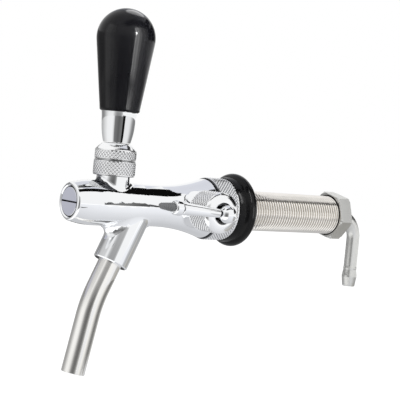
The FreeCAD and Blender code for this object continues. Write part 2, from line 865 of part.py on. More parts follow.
plunger = spin_piece("plunger", "XY_Plane", "V_Axis", [
    (0, guide_front),
    (guide_rad - d.RingEdge, guide_front),
    (guide_rad, guide_front + d.RingEdge),
    (guide_rad, ring_y - ring_half),
    (ring_foot, ring_y - ring_half),
    (ring_foot, ring_y + ring_half),
    (guide_rad, ring_y + ring_half),
    (guide_rad, guide_rear),
    (d.YokeRad, guide_rear),
    (d.YokeRad, yoke_rear),
    (d.RodRad, yoke_rear),
    (d.RodRad, seal_front),
    (d.RodEndRad, seal_front),
    (d.RodEndRad, rod_end),
    (0, rod_end),
])
flare_reach = (d.YokeRad - d.YokeFlareFoot) * tangent(d.YokeFlare)
pocket_sketch = new_sketch(plunger, "YZ_Plane", "yoke_pocket_outline", (neck_y, 0, 0))
draw_outline(pocket_sketch, [
    (-d.YokePocket, -d.YokeFloor),
    (d.YokePocket, -d.YokeFloor),
    (d.YokePocket, d.YokeFlareFoot),
    (d.YokePocket + flare_reach, d.YokeRad),
    (-d.YokePocket - flare_reach, d.YokeRad),
    (-d.YokePocket, d.YokeFlareFoot),
])
pocket(plunger, pocket_sketch, "yoke_pocket", 2 * d.YokePocket, both=True)

ring_piece("plunger_oring", "XY_Plane", "V_Axis", [
    (guide_rad - d.GuideRingWire, 0, d.GuideRingWire),
], (0, ring_y, 0))

spin_piece("valve_seal", "XY_Plane", "V_Axis", [
    (d.RodEndRad + d.FitGap, 0),
    (d.SealRad, 0),
    (d.SealRad, d.SealThick),
    (d.RodEndRad + d.FitGap, d.SealThick),
], (0, seal_front, 0))

spin_piece("seal_retainer", "XY_Plane", "V_Axis", [
    (d.RodEndRad + d.FitGap, 0),
    (d.RetainerRad, 0),
    (d.RetainerRad, d.RetainerThick),
    (d.RodEndRad + d.FitGap, d.RetainerThick),
], (0, seal_rear, 0))


def hexagon(flats, start):
    """Corners of a hexagon by its width over flats, the first one at this angle."""
    reach = flats / 2 / cosine(as_size(30))
    return [(reach * cosine(start + 60 * k), reach * sine(start + 60 * k)) for k in range(6)]


def nut_blank(label, flats, turn, length, bore, edge, at):
    """A hexagon nut whose corners are turned off by a cone at both faces."""
    body = new_body(label, at)
    sketch = new_sketch(body, "XZ_Plane", label + "_hexagon")
    draw_outline(sketch, hexagon(flats, turn))
    pad(body, sketch, label + "_blank", length, back=True)
    reach = flats / 2 / cosine(as_size(30))
    trim = new_sketch(body, "XY_Plane", label + "_trim_outline")
    slope = edge * tangent(as_size(30))
    far = reach + edge
    draw_outline(trim, [
        (reach - edge, 0),
        (far, 0),
        (far, 2 * slope),
    ])
    spin(body, trim, label + "_front_trim", cut=True)
    back = new_sketch(body, "XY_Plane", label + "_back_outline")
    draw_outline(back, [
        (reach - edge, length),
        (far, length),
        (far, length - 2 * slope),
    ])
    spin(body, back, label + "_back_trim", cut=True)
    hole = new_sketch(body, "XZ_Plane", label + "_bore_circle")
    draw_circles(hole, [(0, 0, bore)])
    pocket(body, hole, label + "_bore", length)
    return body


def countersink(body, label, length, bore, sink):
    """Widen the bore of a nut by a cone at both faces."""
    for side, face, depth in (("front", as_size(0), sink), ("back", length, length - sink)):
        cone = new_sketch(body, "XY_Plane", f"{label}_{side}_sink_outline")
        draw_outline(cone, [
            (bore - sink, face),
            (bore + sink, face),
            (bore, depth),
            (bore - sink, depth),
        ])
        spin(body, cone, f"{label}_{side}_sink", cut=True)


nut_blank("seal_nut", d.SealNutFlats, as_size(0), d.SealNutLen, d.RodEndRad + d.FitGap,
          d.RingEdge, (0, retainer_rear, 0))


# Spout tube, bent once, with its seal in the socket

bend_turn = d.SpoutLean - d.SpoutEndLean
bend_set = d.SpoutBendRad * tangent(bend_turn / 2)
spout_body = new_body("spout_tube", (0, spout_y, 0))
spout_top = d.SocketReach - d.SpoutSeat
bend_y = -d.SpoutBend * sine(d.SpoutLean)
bend_z = -d.SpoutBend * cosine(d.SpoutLean)
start_s = d.SpoutBend - bend_set
path = new_sketch(spout_body, "YZ_Plane", "spout_path")
draw_path(path, [
    (-spout_top * sine(d.SpoutLean), -spout_top * cosine(d.SpoutLean)),
    (-start_s * sine(d.SpoutLean), -start_s * cosine(d.SpoutLean), d.SpoutBendRad, -1),
    (bend_y - bend_set * sine(d.SpoutEndLean), bend_z - bend_set * cosine(d.SpoutEndLean)),
    (bend_y - d.SpoutEnd * sine(d.SpoutEndLean), bend_z - d.SpoutEnd * cosine(d.SpoutEndLean)),
])


def tube_section(body, name, at, turn, radii):
    """Circles on the level plane, turned about X to face along a path."""
    sketch = body.newObject("Sketcher::SketchObject", name)
    support = [item for item in body.Origin.OriginFeatures if item.Role == "XY_Plane"][0]
    sketch.AttachmentSupport = [(support, "")]
    sketch.MapMode = "FlatFace"
    offset = FreeCAD.Rotation(Vector(1, 0, 0), turn.value)
    sketch.AttachmentOffset = FreeCAD.Placement(Vector(0, 0, 0), offset)
    sketch.setExpression("AttachmentOffset.Rotation.Angle", turn.text)
    for axis, place in zip("xyz", at):
        if isinstance(place, Size):
            sketch.setExpression(f"AttachmentOffset.Base.{axis}", place.text)
    draw_circles(sketch, [(0, 0, radius) for radius in radii])
    return sketch


def pipe(body, section, route, name):
    feature = body.newObject("PartDesign::AdditivePipe", name)
    feature.Profile = section
    feature.Spine = (route, [f"Edge{index + 1}" for index in range(route.GeometryCount)])
    return feature


spout_section = tube_section(spout_body, "spout_section",
                             (0, -spout_top * sine(d.SpoutLean), -spout_top * cosine(d.SpoutLean)),
                             -d.SpoutLean, [d.SpoutRad, d.SpoutRad - d.SpoutWall])
pipe(spout_body, spout_section, path, "spout_bent_tube")

spout_ring = new_body("spout_oring")
wire = new_sketch(spout_ring, "YZ_Plane", "spout_oring_wire", (spout_y, 0, 0), -d.SpoutLean)
draw_circles(wire, [(d.SpoutRad + d.FitGap + d.SpoutRingWire, d.SpoutRingSet - d.SocketReach,
                     d.SpoutRingWire)])
spin(spout_ring, wire, "spout_oring_ring")


# Flow control: spindle with its eccentric pin, seals, washer and domed gland nut

spindle_place = (0, branch_y, 0)
groove_foot = d.SpindleRad - 2 * d.SpindleRingWire
groove_half = d.SpindleRingWire + d.RingGap
first_ring = d.SpindleRingFirst
second_ring = d.SpindleRingFirst + d.SpindleRingPitch
head_join = root(d.HeadRad * d.HeadRad - d.HeadNeckRad * d.HeadNeckRad)
spindle = spin_piece("flow_spindle", "XY_Plane", "H_Axis", [
    (d.SpindleInner, 0),
    (d.SpindleInner, d.SpindleRad),
    (first_ring - groove_half, d.SpindleRad),
    (first_ring - groove_half, groove_foot),
    (first_ring + groove_half, groove_foot),
    (first_ring + groove_half, d.SpindleRad),
    (second_ring - groove_half, d.SpindleRad),
    (second_ring - groove_half, groove_foot),
    (second_ring + groove_half, groove_foot),
    (second_ring + groove_half, d.SpindleRad),
    (collar_inner, d.SpindleRad),
    (collar_inner, d.CollarRad),
    (collar_outer, d.CollarRad),
    (collar_outer, d.HeadNeckRad),
    (head_x - head_join, d.HeadNeckRad, d.HeadRad, 1),
    (head_x, d.HeadRad, d.HeadRad, 1),
    (head_x + d.HeadRad, 0),
], spindle_place)
pin_sketch = new_sketch(spindle, "YZ_Plane", "eccentric_pin_circle", (0, 0, d.PinInner))
draw_circles(pin_sketch, [(0, -d.PinOffset, d.PinRad)])
pad(spindle, pin_sketch, "eccentric_pin", d.SpindleInner + d.RingEdge - d.PinInner)
lever_axis_turn = as_size(90) - d.LeverLean
socket_sketch = new_sketch(spindle, "YZ_Plane", "lever_socket_outline", (0, 0, head_x),
                           lever_axis_turn)
lever_foot = d.HeadRad - d.LeverSocket
draw_outline(socket_sketch, [
    (0, lever_foot),
    (d.LeverStudRad + d.FitGap, lever_foot),
    (d.LeverStudRad + d.FitGap, d.HeadRad + d.SideGap),
    (0, d.HeadRad + d.SideGap),
])
spin(spindle, socket_sketch, "lever_socket", cut=True)

ring_piece("spindle_orings", "XY_Plane", "H_Axis", [
    (first_ring, d.SpindleRad - d.SpindleRingWire, d.SpindleRingWire),
    (second_ring, d.SpindleRad - d.SpindleRingWire, d.SpindleRingWire),
], spindle_place)

spin_piece("gland_washer", "XY_Plane", "H_Axis", [
    (collar_outer + d.FitGap, d.GlandMouthRad),
    (collar_outer + d.FitGap, d.CollarRad),
    (gland_roof, d.CollarRad),
    (gland_roof, d.GlandMouthRad),
], spindle_place)

gland_bore = d.SpigotRad + d.FitGap
dome_step = d.GlandRad - d.RingEdge - d.GlandMouthRad
dome_curve = (dome_step * dome_step + d.GlandDome * d.GlandDome) / (2 * d.GlandDome)
gland_foot = d.BranchReach + d.RingGap
spin_piece("flow_gland_nut", "XY_Plane", "H_Axis", [
    (gland_foot, gland_bore),
    (gland_foot, d.GlandRad - d.RingEdge),
    (gland_foot + d.RingEdge, d.GlandRad),
    (gland_rim, d.GlandRad),
    (gland_rim + d.RingEdge, d.GlandRad - d.RingEdge, dome_curve, 1),
    (gland_mouth, d.GlandMouthRad),
    (gland_roof, d.GlandMouthRad),
    (gland_roof, gland_bore),
], spindle_place)


# Flow lever: tapered rod, round knob and slim ribbed tip, pointing forward

def lever_piece(label, corners):
    """A piece turned about the lever's line, which leaves the spindle's head."""
    body = new_body(label, (head_x, branch_y, 0), (Vector(1, 0, 0), -d.LeverLean))
    sketch = new_sketch(body, "XY_Plane", label + "_outline")
    draw_outline(sketch, [(radius, -as_size(along)) for radius, along in corners])
    spin(body, sketch, label + "_turned")
    return body


knob_start = d.LeverEnd
knob_end = knob_start + d.KnobLen
tenon_end = knob_start + d.TenonLen
lever_piece("flow_lever", [
    (0, lever_foot),
    (d.LeverStudRad, lever_foot),
    (d.LeverStudRad, d.HeadRad + d.LeverNeck - d.RingEdge),
    (d.LeverRootRad, d.HeadRad + d.LeverNeck),
    (d.LeverEndRad, knob_start),
    (d.TenonRad, knob_start),
    (d.TenonRad, tenon_end),
    (0, tenon_end),
])
knob_round = d.KnobRad / 3
lever_piece("flow_lever_knob", [
    (d.TenonRad + d.FitGap, knob_start),
    (d.LeverEndRad - d.KnobGroove, knob_start),
    (d.LeverEndRad - d.KnobGroove, knob_start + d.KnobGroove),
    (d.KnobRad, knob_start + 2 * d.KnobGroove),
    (d.KnobRad, knob_end - knob_round),
    (d.KnobRad - knob_round / 3, knob_end - knob_round / 3),
    (d.KnobRad - knob_round, knob_end),
    (0, knob_end),
    (0, tenon_end + d.RingGap),
    (d.TenonRad + d.FitGap, tenon_end + d.RingGap),
])
lever_piece("flow_lever_tip", [
    (0, knob_end),
    (d.TipRad, knob_end),
    (d.TipEndRad, knob_end + d.TipLen - d.TipEndRad / 2),
    (d.TipEndRad / 2, knob_end + d.TipLen),
    (0, knob_end + d.TipLen),
])


# Compensator cone in the body's tapering throat

cone_nose = bell_face - d.ConeNose
cone = spin_piece("compensator_cone", "XY_Plane", "V_Axis", [
    (0, cone_nose - d.ConeNoseRad / 3),
    (d.ConeNoseRad / 2, cone_nose - d.ConeNoseRad / 3),
    (d.ConeNoseRad, cone_nose),
    (d.ConeTailRad, bell_face - d.RingEdge),
    (d.ConeTailRad - d.RingEdge, bell_face),
    (0, bell_face),
])
slot_half = d.PinRad + d.PinPlay
cone_slot = new_sketch(cone, "XY_Plane", "cone_slot_outline")
draw_outline(cone_slot, [
    (d.ConeSlotFloor, branch_y - slot_half),
    (d.ConeTailRad, branch_y - slot_half),
    (d.ConeTailRad, branch_y + slot_half),
    (d.ConeSlotFloor, branch_y + slot_half),
])
pocket(cone, cone_slot, "cone_slot", 2 * d.ConeTailRad, both=True)


# Coupling nut, its snap ring and the gasket it compresses

spin_piece("snap_ring", "XY_Plane", "V_Axis", [
    (d.TailRad - d.SnapDepth, 0),
    (d.SnapRad, 0),
    (d.SnapRad, d.SnapThick),
    (d.TailRad - d.SnapDepth, d.SnapThick),
], (0, snap_front, 0))

nut_bore = d.ShankRad + d.FitGap
spin_piece("coupling_nut", "XY_Plane", "V_Axis", [
    (d.TailRad + d.FitGap, 0),
    (d.CouplingRad - d.CouplingEdge, 0),
    (d.CouplingRad, d.CouplingEdge),
    (d.CouplingRad, d.CouplingLen - d.CouplingEdge / 2),
    (d.CouplingRad - d.CouplingEdge / 2, d.CouplingLen),
    (nut_bore + d.RingEdge, d.CouplingLen),
    (nut_bore, d.CouplingLen - d.RingEdge),
    (nut_bore, d.CouplingLip),
    (d.TailRad + d.FitGap, d.CouplingLip),
], (0, coupling_front, 0))

spin_piece("shank_gasket", "XY_Plane", "V_Axis", [
    (d.TailBoreRad, 0),
    (d.ShankRad - d.ShankEdge, 0),
    (d.ShankRad - d.ShankEdge, d.GasketThick),
    (d.TailBoreRad, d.GasketThick),
], (0, tail_end, 0))


# Shank, wall flange, lock nut and hose tail

tail_bore = d.TailTubeRad + d.FitGap
tail_stop = d.ShankRear - d.TailSocket
spin_piece("shank", "XY_Plane", "V_Axis", [
    (d.TailBoreRad, shank_front),
    (d.ShankRad - d.ShankEdge, shank_front),
    (d.ShankRad, shank_front + d.ShankEdge),
    (d.ShankRad, d.ShankRear - d.ShankEdge),
    (d.ShankRad - d.ShankEdge, d.ShankRear),
    (tail_bore, d.ShankRear),
    (tail_bore, tail_stop),
    (d.ShankBoreRad, tail_stop - (d.ShankBoreRad - tail_bore)),
    (d.ShankBoreRad, shank_front + d.FunnelLen),
])

hub_bore = d.ShankRad + d.SideGap
hub_rad = hub_bore + d.FlangeHubWall
roof = coupling_rear + d.FlangeTop
rim_rad = d.FlangeFoot - d.FlangeWall
bead_step = d.FlangeRad - d.FlangeFoot
bead_rad = (bead_step * bead_step + d.FlangeWaist * d.FlangeWaist) / (2 * bead_step)
# The front slope runs straight from the mouth and is tangent to the bead
slope_run = d.FlangeDepth - d.FlangeWaist
slope_rise = d.FlangeRad - bead_rad - d.FlangeMouthRad
slope_reach = slope_run * slope_run + slope_rise * slope_rise
slope_len = root(slope_reach - bead_rad * bead_rad)
slope_cos = (slope_run * slope_len - slope_rise * bead_rad) / slope_reach
slope_sin = (slope_rise * slope_len + slope_run * bead_rad) / slope_reach
spin_piece("wall_flange", "XY_Plane", "V_Axis", [
    (hub_bore, coupling_rear),
    (d.FlangeMouthRad, coupling_rear),
    (d.FlangeMouthRad + slope_len * slope_sin, coupling_rear + slope_len * slope_cos, bead_rad, -1),
    (d.FlangeFoot, 0),
    (rim_rad, 0),
    (rim_rad - d.FlangeHubWall / 2, roof),
    (hub_rad, roof),
    (hub_rad, 0),
    (hub_bore, 0),
])

lock_nut = nut_blank("lock_nut", d.LockNutFlats, d.LockNutTurn, d.LockNutLen, nut_bore,
                     d.LockNutEdge, (0, d.LockNutFront, 0))
countersink(lock_nut, "lock_nut", d.LockNutLen, nut_bore, d.LockNutSink)

tail_body = new_body("hose_tail")
bend_start = d.ShankRear + d.TailStraight
drop_y = bend_start + d.TailBendRad
tail_path = new_sketch(tail_body, "YZ_Plane", "tail_path")
draw_path(tail_path, [
    (tail_stop, 0),
    (bend_start, 0, d.TailBendRad, 1),
    (drop_y, -d.TailBendRad),
    (drop_y, -d.TailDrop),
])
tail_section = new_sketch(tail_body, "XZ_Plane", "tail_section", (0, 0, -tail_stop))
tube_bore = d.TailTubeRad - d.TailTubeWall
draw_circles(tail_section, [(0, 0, d.TailTubeRad), (0, 0, tube_bore)])
pipe(tail_body, tail_section, tail_path, "tail_bent_tube")
barb_top = d.BarbLen - d.TailDrop
barb_sketch = new_sketch(tail_body, "XZ_Plane", "barb_outline", (0, 0, -drop_y))
draw_outline(barb_sketch, [
    (tube_bore, -d.TailDrop),
    (d.TailTubeRad - d.TailTubeWall / 4, -d.TailDrop),
    (d.BarbRad, d.BarbPeak - d.TailDrop),
    (d.BarbRad, d.BarbPeak + d.BarbLand - d.TailDrop),
    (d.TailTubeRad, barb_top),
    (tube_bore, barb_top),
])
spin(tail_body, barb_sketch, "barb")


# Check and write

doc.recompute()
faults = [item.Name for item in doc.Objects if "Invalid" in item.State or "Error" in item.State]
for part in parts:
    if part.Shape.isNull() or not part.Shape.isValid() or part.Shape.Volume <= 0:
        faults.append(part.Label)
if faults:
    raise RuntimeError("not sound: " + ", ".join(faults))

os.makedirs("parts", exist_ok=True)
for part in parts:
    part.Shape.exportStep(os.path.join("parts", part.Label + ".step"))
    print(part.Label, round(part.Shape.Volume, 1), len(part.Shape.Solids))
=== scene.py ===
import json
import math

import bpy
import numpy as np
from mathutils import Matrix, Vector


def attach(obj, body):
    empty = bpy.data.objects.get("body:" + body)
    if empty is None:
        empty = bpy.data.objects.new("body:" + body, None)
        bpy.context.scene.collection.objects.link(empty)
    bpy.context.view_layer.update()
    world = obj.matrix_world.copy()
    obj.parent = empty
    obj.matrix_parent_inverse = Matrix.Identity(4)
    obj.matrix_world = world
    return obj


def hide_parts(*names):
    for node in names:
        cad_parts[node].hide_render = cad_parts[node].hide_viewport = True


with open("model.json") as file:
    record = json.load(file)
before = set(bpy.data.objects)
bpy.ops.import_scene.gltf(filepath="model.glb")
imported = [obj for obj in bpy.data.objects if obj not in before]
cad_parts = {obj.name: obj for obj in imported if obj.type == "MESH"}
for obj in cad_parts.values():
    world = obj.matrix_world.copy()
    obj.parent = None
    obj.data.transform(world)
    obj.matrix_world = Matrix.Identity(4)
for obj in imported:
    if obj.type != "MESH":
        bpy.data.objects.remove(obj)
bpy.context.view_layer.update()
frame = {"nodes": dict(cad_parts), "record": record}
nodes = frame["nodes"]
MM = 0.001
POLE = 0.001        # a turned end closes this near its axis, in millimetres

# Places and sizes shared with the solids, in millimetres and degrees
NECK_Y = -85.4
BALL_Z = 21.0
BRANCH_Y = -36.1
HEAD_X = 37.45
HEAD_RAD = 4.8
HEAD_NECK_RAD = 4.0
LEVER_LEAN = 3.75
SPOUT_Y = -68.5
SPOUT_LEAN = 24.3
SLOT_HALF = (0.44, 0.47)
SLOT_FLOOR = (-111.28, -111.1)
PLUG_RIM = (7.45, 7.6)

# The photograph's camera: azimuth, elevation and roll in degrees, places in metres
CAMERA_TURN = (52.92, 2.74, 5.41)
CAMERA_TARGET = (0, -0.02688, 0.00458)
CAMERA_DISTANCE = 0.67055
LENS = 108
SENSOR = 36


def make_camera():
    azimuth, elevation, roll = (math.radians(v) for v in CAMERA_TURN)
    back = Vector((math.sin(azimuth) * math.cos(elevation),
                   -math.cos(azimuth) * math.cos(elevation),
                   math.sin(elevation)))
    right = Vector((math.cos(azimuth), math.sin(azimuth), 0))
    up = back.cross(right)
    across = right * math.cos(roll) + up * math.sin(roll)
    rise = up * math.cos(roll) - right * math.sin(roll)
    place = Vector(CAMERA_TARGET) + back * CAMERA_DISTANCE
    data = bpy.data.cameras.new("photo_camera")
    data.lens = LENS
    data.sensor_width = SENSOR
    camera = bpy.data.objects.new("photo_camera", data)
    turn = Matrix((across, rise, back)).transposed()
    camera.matrix_world = Matrix.Translation(place) @ turn.to_4x4()
    bpy.context.scene.collection.objects.link(camera)
    bpy.context.scene.camera = camera


make_camera()


# Materials

NOISE_RANGE = (0.3, 0.7)            # what a noise texture's values mostly lie between
MIX_FIRST, MIX_SECOND, MIX_COLOUR = 6, 7, 2     # the colour sockets of a Mix node


def new_material(name):
    material = bpy.data.materials.new(name)
    material.use_nodes = True
    tree = material.node_tree
    shader = tree.nodes["Principled BSDF"]
    return material, tree, shader


def add(tree, kind, **settings):
    """A node of this kind, with properties and input values set by name."""
    node = tree.nodes.new(kind)
    for key, value in settings.items():
        if hasattr(node, key):
            setattr(node, key, value)
        else:
            node.inputs[key.replace("_", " ")].default_value = value
    return node


def object_space(tree, stretch=(1, 1, 1)):
    """The object's coordinates in millimetres, stretched along each axis."""
    place = add(tree, "ShaderNodeTexCoord")
    mapping = add(tree, "ShaderNodeMapping")
    mapping.inputs["Scale"].default_value = [1000 * v for v in stretch]
    tree.links.new(place.outputs["Object"], mapping.inputs["Vector"])
    return mapping.outputs["Vector"]


def noise(tree, vector, scale, detail):
    node = add(tree, "ShaderNodeTexNoise", Scale=scale, Detail=detail)
    tree.links.new(vector, node.inputs["Vector"])
    return node.outputs["Fac"]


def remap(tree, value, low, high, to_low, to_high):
    node = add(tree, "ShaderNodeMapRange")
    limits = (("From Min", low), ("From Max", high), ("To Min", to_low), ("To Max", to_high))
    for key, number in limits:
        node.inputs[key].default_value = number
    tree.links.new(value, node.inputs["Value"])
    return node.outputs["Result"]


def spread(tree, value, low, high):
    """A noise value drawn out to run from low to high."""
    return remap(tree, value, *NOISE_RANGE, low, high)


def combine(tree, operation, first, second):
    node = add(tree, "ShaderNodeMath", operation=operation)
    tree.links.new(first, node.inputs[0])
    tree.links.new(second, node.inputs[1])
    return node.outputs[0]


def tint(tree, value, first, second):
    """A colour that runs from first to second as the value runs from 0 to 1."""
    ramp = add(tree, "ShaderNodeValToRGB")
    ramp.color_ramp.elements[0].color = (*first, 1)
    ramp.color_ramp.elements[1].color = (*second, 1)
    tree.links.new(value, ramp.inputs["Fac"])
    return ramp.outputs["Color"]


def bump(tree, shader, height, distance):
    node = add(tree, "ShaderNodeBump", Strength=1.0, Distance=distance)
    tree.links.new(height, node.inputs["Height"])
    tree.links.new(node.outputs["Normal"], shader.inputs["Normal"])


def metal(name, first, second, rough_low, rough_high, grain, grain_scale, wave=0.0,
          stretch=(1, 1, 1), dark=(0.02, 0.02, 0.022), mask=None):
    """Plated or bare metal: slow colour change, uneven gloss, fine grain and a faint ripple.

    A piece's "cut" layer, or a mask, runs from 0 on its open faces to 1 in its cuts, where
    little light gets in; there the colour is mixed towards the dark colour as painted shade.
    """
    material, tree, shader = new_material(name)
    place = object_space(tree)
    slow = noise(tree, place, scale=0.05, detail=2.0)
    links = tree.links
    base = tint(tree, spread(tree, slow, 0, 1), first, second)
    # Painted shade: the colour runs to the dark colour where the cut layer or the mask is 1
    shade = add(tree, "ShaderNodeMix", data_type="RGBA")
    if mask is None:
        cut = add(tree, "ShaderNodeVertexColor", layer_name="cut")
        links.new(cut.outputs["Color"], shade.inputs[0])
    else:
        links.new(mask(tree, place), shade.inputs[0])
    links.new(base, shade.inputs[MIX_FIRST])
    shade.inputs[MIX_SECOND].default_value = (*dark, 1)
    links.new(shade.outputs[MIX_COLOUR], shader.inputs["Base Color"])
    shader.inputs["Metallic"].default_value = 1.0
    uneven = noise(tree, place, scale=0.35, detail=4.0)
    links.new(spread(tree, uneven, rough_low, rough_high), shader.inputs["Roughness"])
    fine = noise(tree, object_space(tree, stretch), grain_scale, detail=3.0)
    ripple = noise(tree, place, scale=0.12, detail=1.0)
    total = add(tree, "ShaderNodeMath", operation="MULTIPLY_ADD")
    links.new(ripple, total.inputs[0])
    total.inputs[1].default_value = wave
    links.new(fine, total.inputs[2])
    bump(tree, shader, total.outputs[0], grain * MM)
    return material


def plastic(name, first, second, rough_low, rough_high, grain, grain_scale, gloss=0.5):
    """Moulded plastic or rubber with a faint skin texture."""
    material, tree, shader = new_material(name)
    place = object_space(tree)
    slow = noise(tree, place, scale=0.08, detail=3.0)
    links = tree.links
    links.new(tint(tree, spread(tree, slow, 0, 1), first, second), shader.inputs["Base Color"])
    uneven = noise(tree, place, scale=0.3, detail=3.0)
    links.new(spread(tree, uneven, rough_low, rough_high), shader.inputs["Roughness"])
    shader.inputs["Specular IOR Level"].default_value = gloss
    fine = noise(tree, place, grain_scale, detail=4.0)
    bump(tree, shader, fine, grain * MM)
    return material


def painted_plug_shade(tree, place):
    """Painted shade: 1 inside the slot across the front plug and on its chamfered rim, 0 on its
    face.
    """
    parts = add(tree, "ShaderNodeSeparateXYZ")
    tree.links.new(place, parts.inputs[0])
    x, y, z = (parts.outputs[axis] for axis in "XYZ")
    level = add(tree, "ShaderNodeMath", operation="ABSOLUTE")
    tree.links.new(z, level.inputs[0])
    narrow = remap(tree, level.outputs[0], *SLOT_HALF, 1, 0)
    deep = remap(tree, y, *SLOT_FLOOR, 0, 1)
    reach = combine(tree, "ADD", combine(tree, "MULTIPLY", x, x), combine(tree, "MULTIPLY", z, z))
    rim = remap(tree, reach, *(radius ** 2 for radius in PLUG_RIM), 0, 1)
    return combine(tree, "MAXIMUM", combine(tree, "MULTIPLY", narrow, deep), rim)


CHROME = ((0.89, 0.90, 0.915), (0.92, 0.93, 0.94), 0.025, 0.05, 0.0006, 3.0)
# Each dark colour below is the painted shade that a piece's cut layer mixes in
MATERIALS = {
    "chrome": metal("chrome", *CHROME, wave=1.5),
    "slotted_chrome": metal("slotted_chrome", *CHROME, wave=1.5, mask=painted_plug_shade),
    "knurled_chrome": metal("knurled_chrome", (0.90, 0.905, 0.915), (0.94, 0.945, 0.95),
                            0.10, 0.18, 0.002, 4.0, dark=(0.045, 0.047, 0.052)),
    "polished_steel": metal("polished_steel", (0.74, 0.74, 0.74), (0.80, 0.80, 0.79),
                            0.10, 0.18, 0.002, 4.0),
    "spout_steel": metal("spout_steel", (0.90, 0.888, 0.86), (0.94, 0.93, 0.905),
                         0.10, 0.16, 0.0016, 1.0, stretch=(3, 3, 0.2)),
    "thread_nickel": metal("thread_nickel", (0.91, 0.88, 0.83), (0.95, 0.92, 0.88),
                           0.04, 0.08, 0.002, 2.5, dark=(0.15, 0.13, 0.10)),
    "satin_nickel": metal("satin_nickel", (0.66, 0.66, 0.64), (0.72, 0.72, 0.70),
                          0.28, 0.36, 0.003, 1.6, dark=(0.03, 0.03, 0.03)),
    "brass": metal("brass", (0.70, 0.52, 0.22), (0.80, 0.62, 0.30), 0.2, 0.3, 0.004, 2.0),
    "black_grip": plastic("black_grip", (0.0035, 0.0035, 0.0045), (0.006, 0.006, 0.007),
                          0.10, 0.16, 0.0010, 2.5, gloss=0.16),
    "black_flange": plastic("black_flange", (0.0035, 0.0035, 0.004), (0.006, 0.006, 0.0065),
                            0.14, 0.20, 0.0012, 2.0, gloss=0.16),
    "dark_tip": plastic("dark_tip", (0.15, 0.155, 0.16), (0.20, 0.205, 0.21),
                        0.35, 0.5, 0.003, 3.0),
    "white_plastic": plastic("white_plastic", (0.72, 0.72, 0.69), (0.80, 0.80, 0.77),
                             0.4, 0.5, 0.003, 2.0),
    "seal_rubber": plastic("seal_rubber", (0.02, 0.02, 0.02), (0.035, 0.035, 0.035),
                           0.5, 0.65, 0.006, 2.0),
}
SLOTS = {row["node"]: row["material_slot"] for row in frame["record"]["subparts"]}


def paint(obj, slot):
    obj.data.materials.clear()
    obj.data.materials.append(MATERIALS[slot])


for name, node in nodes.items():
    paint(node, SLOTS[name])


# Mesh builders

def body_of(node):
    for body, members in frame["record"]["behaviour"]["bodies"].items():
        if node in members:
            return body


def finish_piece(name, points, faces, replaced, sharp=35, cuts=None):
    """A piece from points in millimetres, standing for the solids it replaces.

    Edges sharper than this many degrees stay hard. cuts is each point's cut level, the strength of
    the painted shade there.
    """
    mesh = bpy.data.meshes.new(name)
    mesh.from_pydata((np.asarray(points) * MM).tolist(), [], faces)
    # The cut layer holds each point's painted shade, from 0 on open faces to 1 where darkest
    layer = mesh.color_attributes.new("cut", "FLOAT_COLOR", "POINT")
    levels = np.zeros(len(points)) if cuts is None else np.asarray(cuts, float)
    colours = np.stack([levels, levels, levels, np.ones(len(points))], 1)
    layer.data.foreach_set("color", colours.ravel())
    mesh.shade_smooth()
    mesh.set_sharp_from_angle(angle=math.radians(sharp))
    piece = bpy.data.objects.new(name, mesh)
    bpy.context.scene.collection.objects.link(piece)
    slot = SLOTS[replaced[0]]
    paint(piece, slot)
    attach(piece, body_of(replaced[0]))
    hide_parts(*replaced)
    return piece


def grid_faces(rows, columns, close_rows=False):
    """Faces of a rows by columns sheet whose columns go round in a ring."""
    faces = []
    for i in range(rows if close_rows else rows - 1):
        for j in range(columns):
            a = i * columns + j
            b = i * columns + (j + 1) % columns
            c = ((i + 1) % rows) * columns + (j + 1) % columns
            d = ((i + 1) % rows) * columns + j
            faces.append((a, b, c, d))
    return faces


def frame_of(axis):
    """Two directions across this axis and the axis itself, as a right-handed set."""
    along = Vector(axis).normalized()
    side = Vector((1, 0, 0)) if abs(along.x) < 0.9 else Vector((0, 1, 0))
    first = (side - along * side.dot(along)).normalized()
    return first, along.cross(first), along


def ring_points(origin, axis, profile, count, radius_at=None):
    """Rings of points round an axis, one for each (radius, distance) corner of the profile."""
    first, second, along = (np.array(v) for v in frame_of(axis))
    angles = np.arange(count) * 2 * math.pi / count
    round_dir = np.outer(np.cos(angles), first) + np.outer(np.sin(angles), second)
    rings = []
    for radius, distance in (corner[:2] for corner in profile):
        reach = np.full(count, float(radius))
        if radius_at is not None:
            reach = radius_at(radius, distance, angles)
        rings.append(np.array(origin) + round_dir * reach[:, None] + along * distance)
    return np.concatenate(rings)


def painted_shade_levels(profile, count):
    """The cut layer of a turned profile, its painted shade: a corner's third number, or 0."""
    return np.repeat([corner[2] if len(corner) > 2 else 0.0 for corner in profile], count)


def lathe(name, origin, axis, profile, replaced, count=128, closed=True):
    """A turned piece from a run of (radius, distance) corners, some with a cut level of painted
    shade.
    """
    points = ring_points(origin, axis, profile, count)
    faces = grid_faces(len(profile), count, closed)
    return finish_piece(name, points, faces, replaced, cuts=painted_shade_levels(profile, count))


def arc(centre, radius, start, end, steps=8):
    """Points of an arc in (radius, distance), by angles from the outward direction."""
    angles = np.radians(np.linspace(start, end, steps + 1))
    return [(centre[0] + radius * math.cos(a), centre[1] + radius * math.sin(a)) for a in angles]


def shaded(corners, cut):
    """The corners with this cut level of painted shade."""
    return [(radius, distance, cut) for radius, distance in corners]


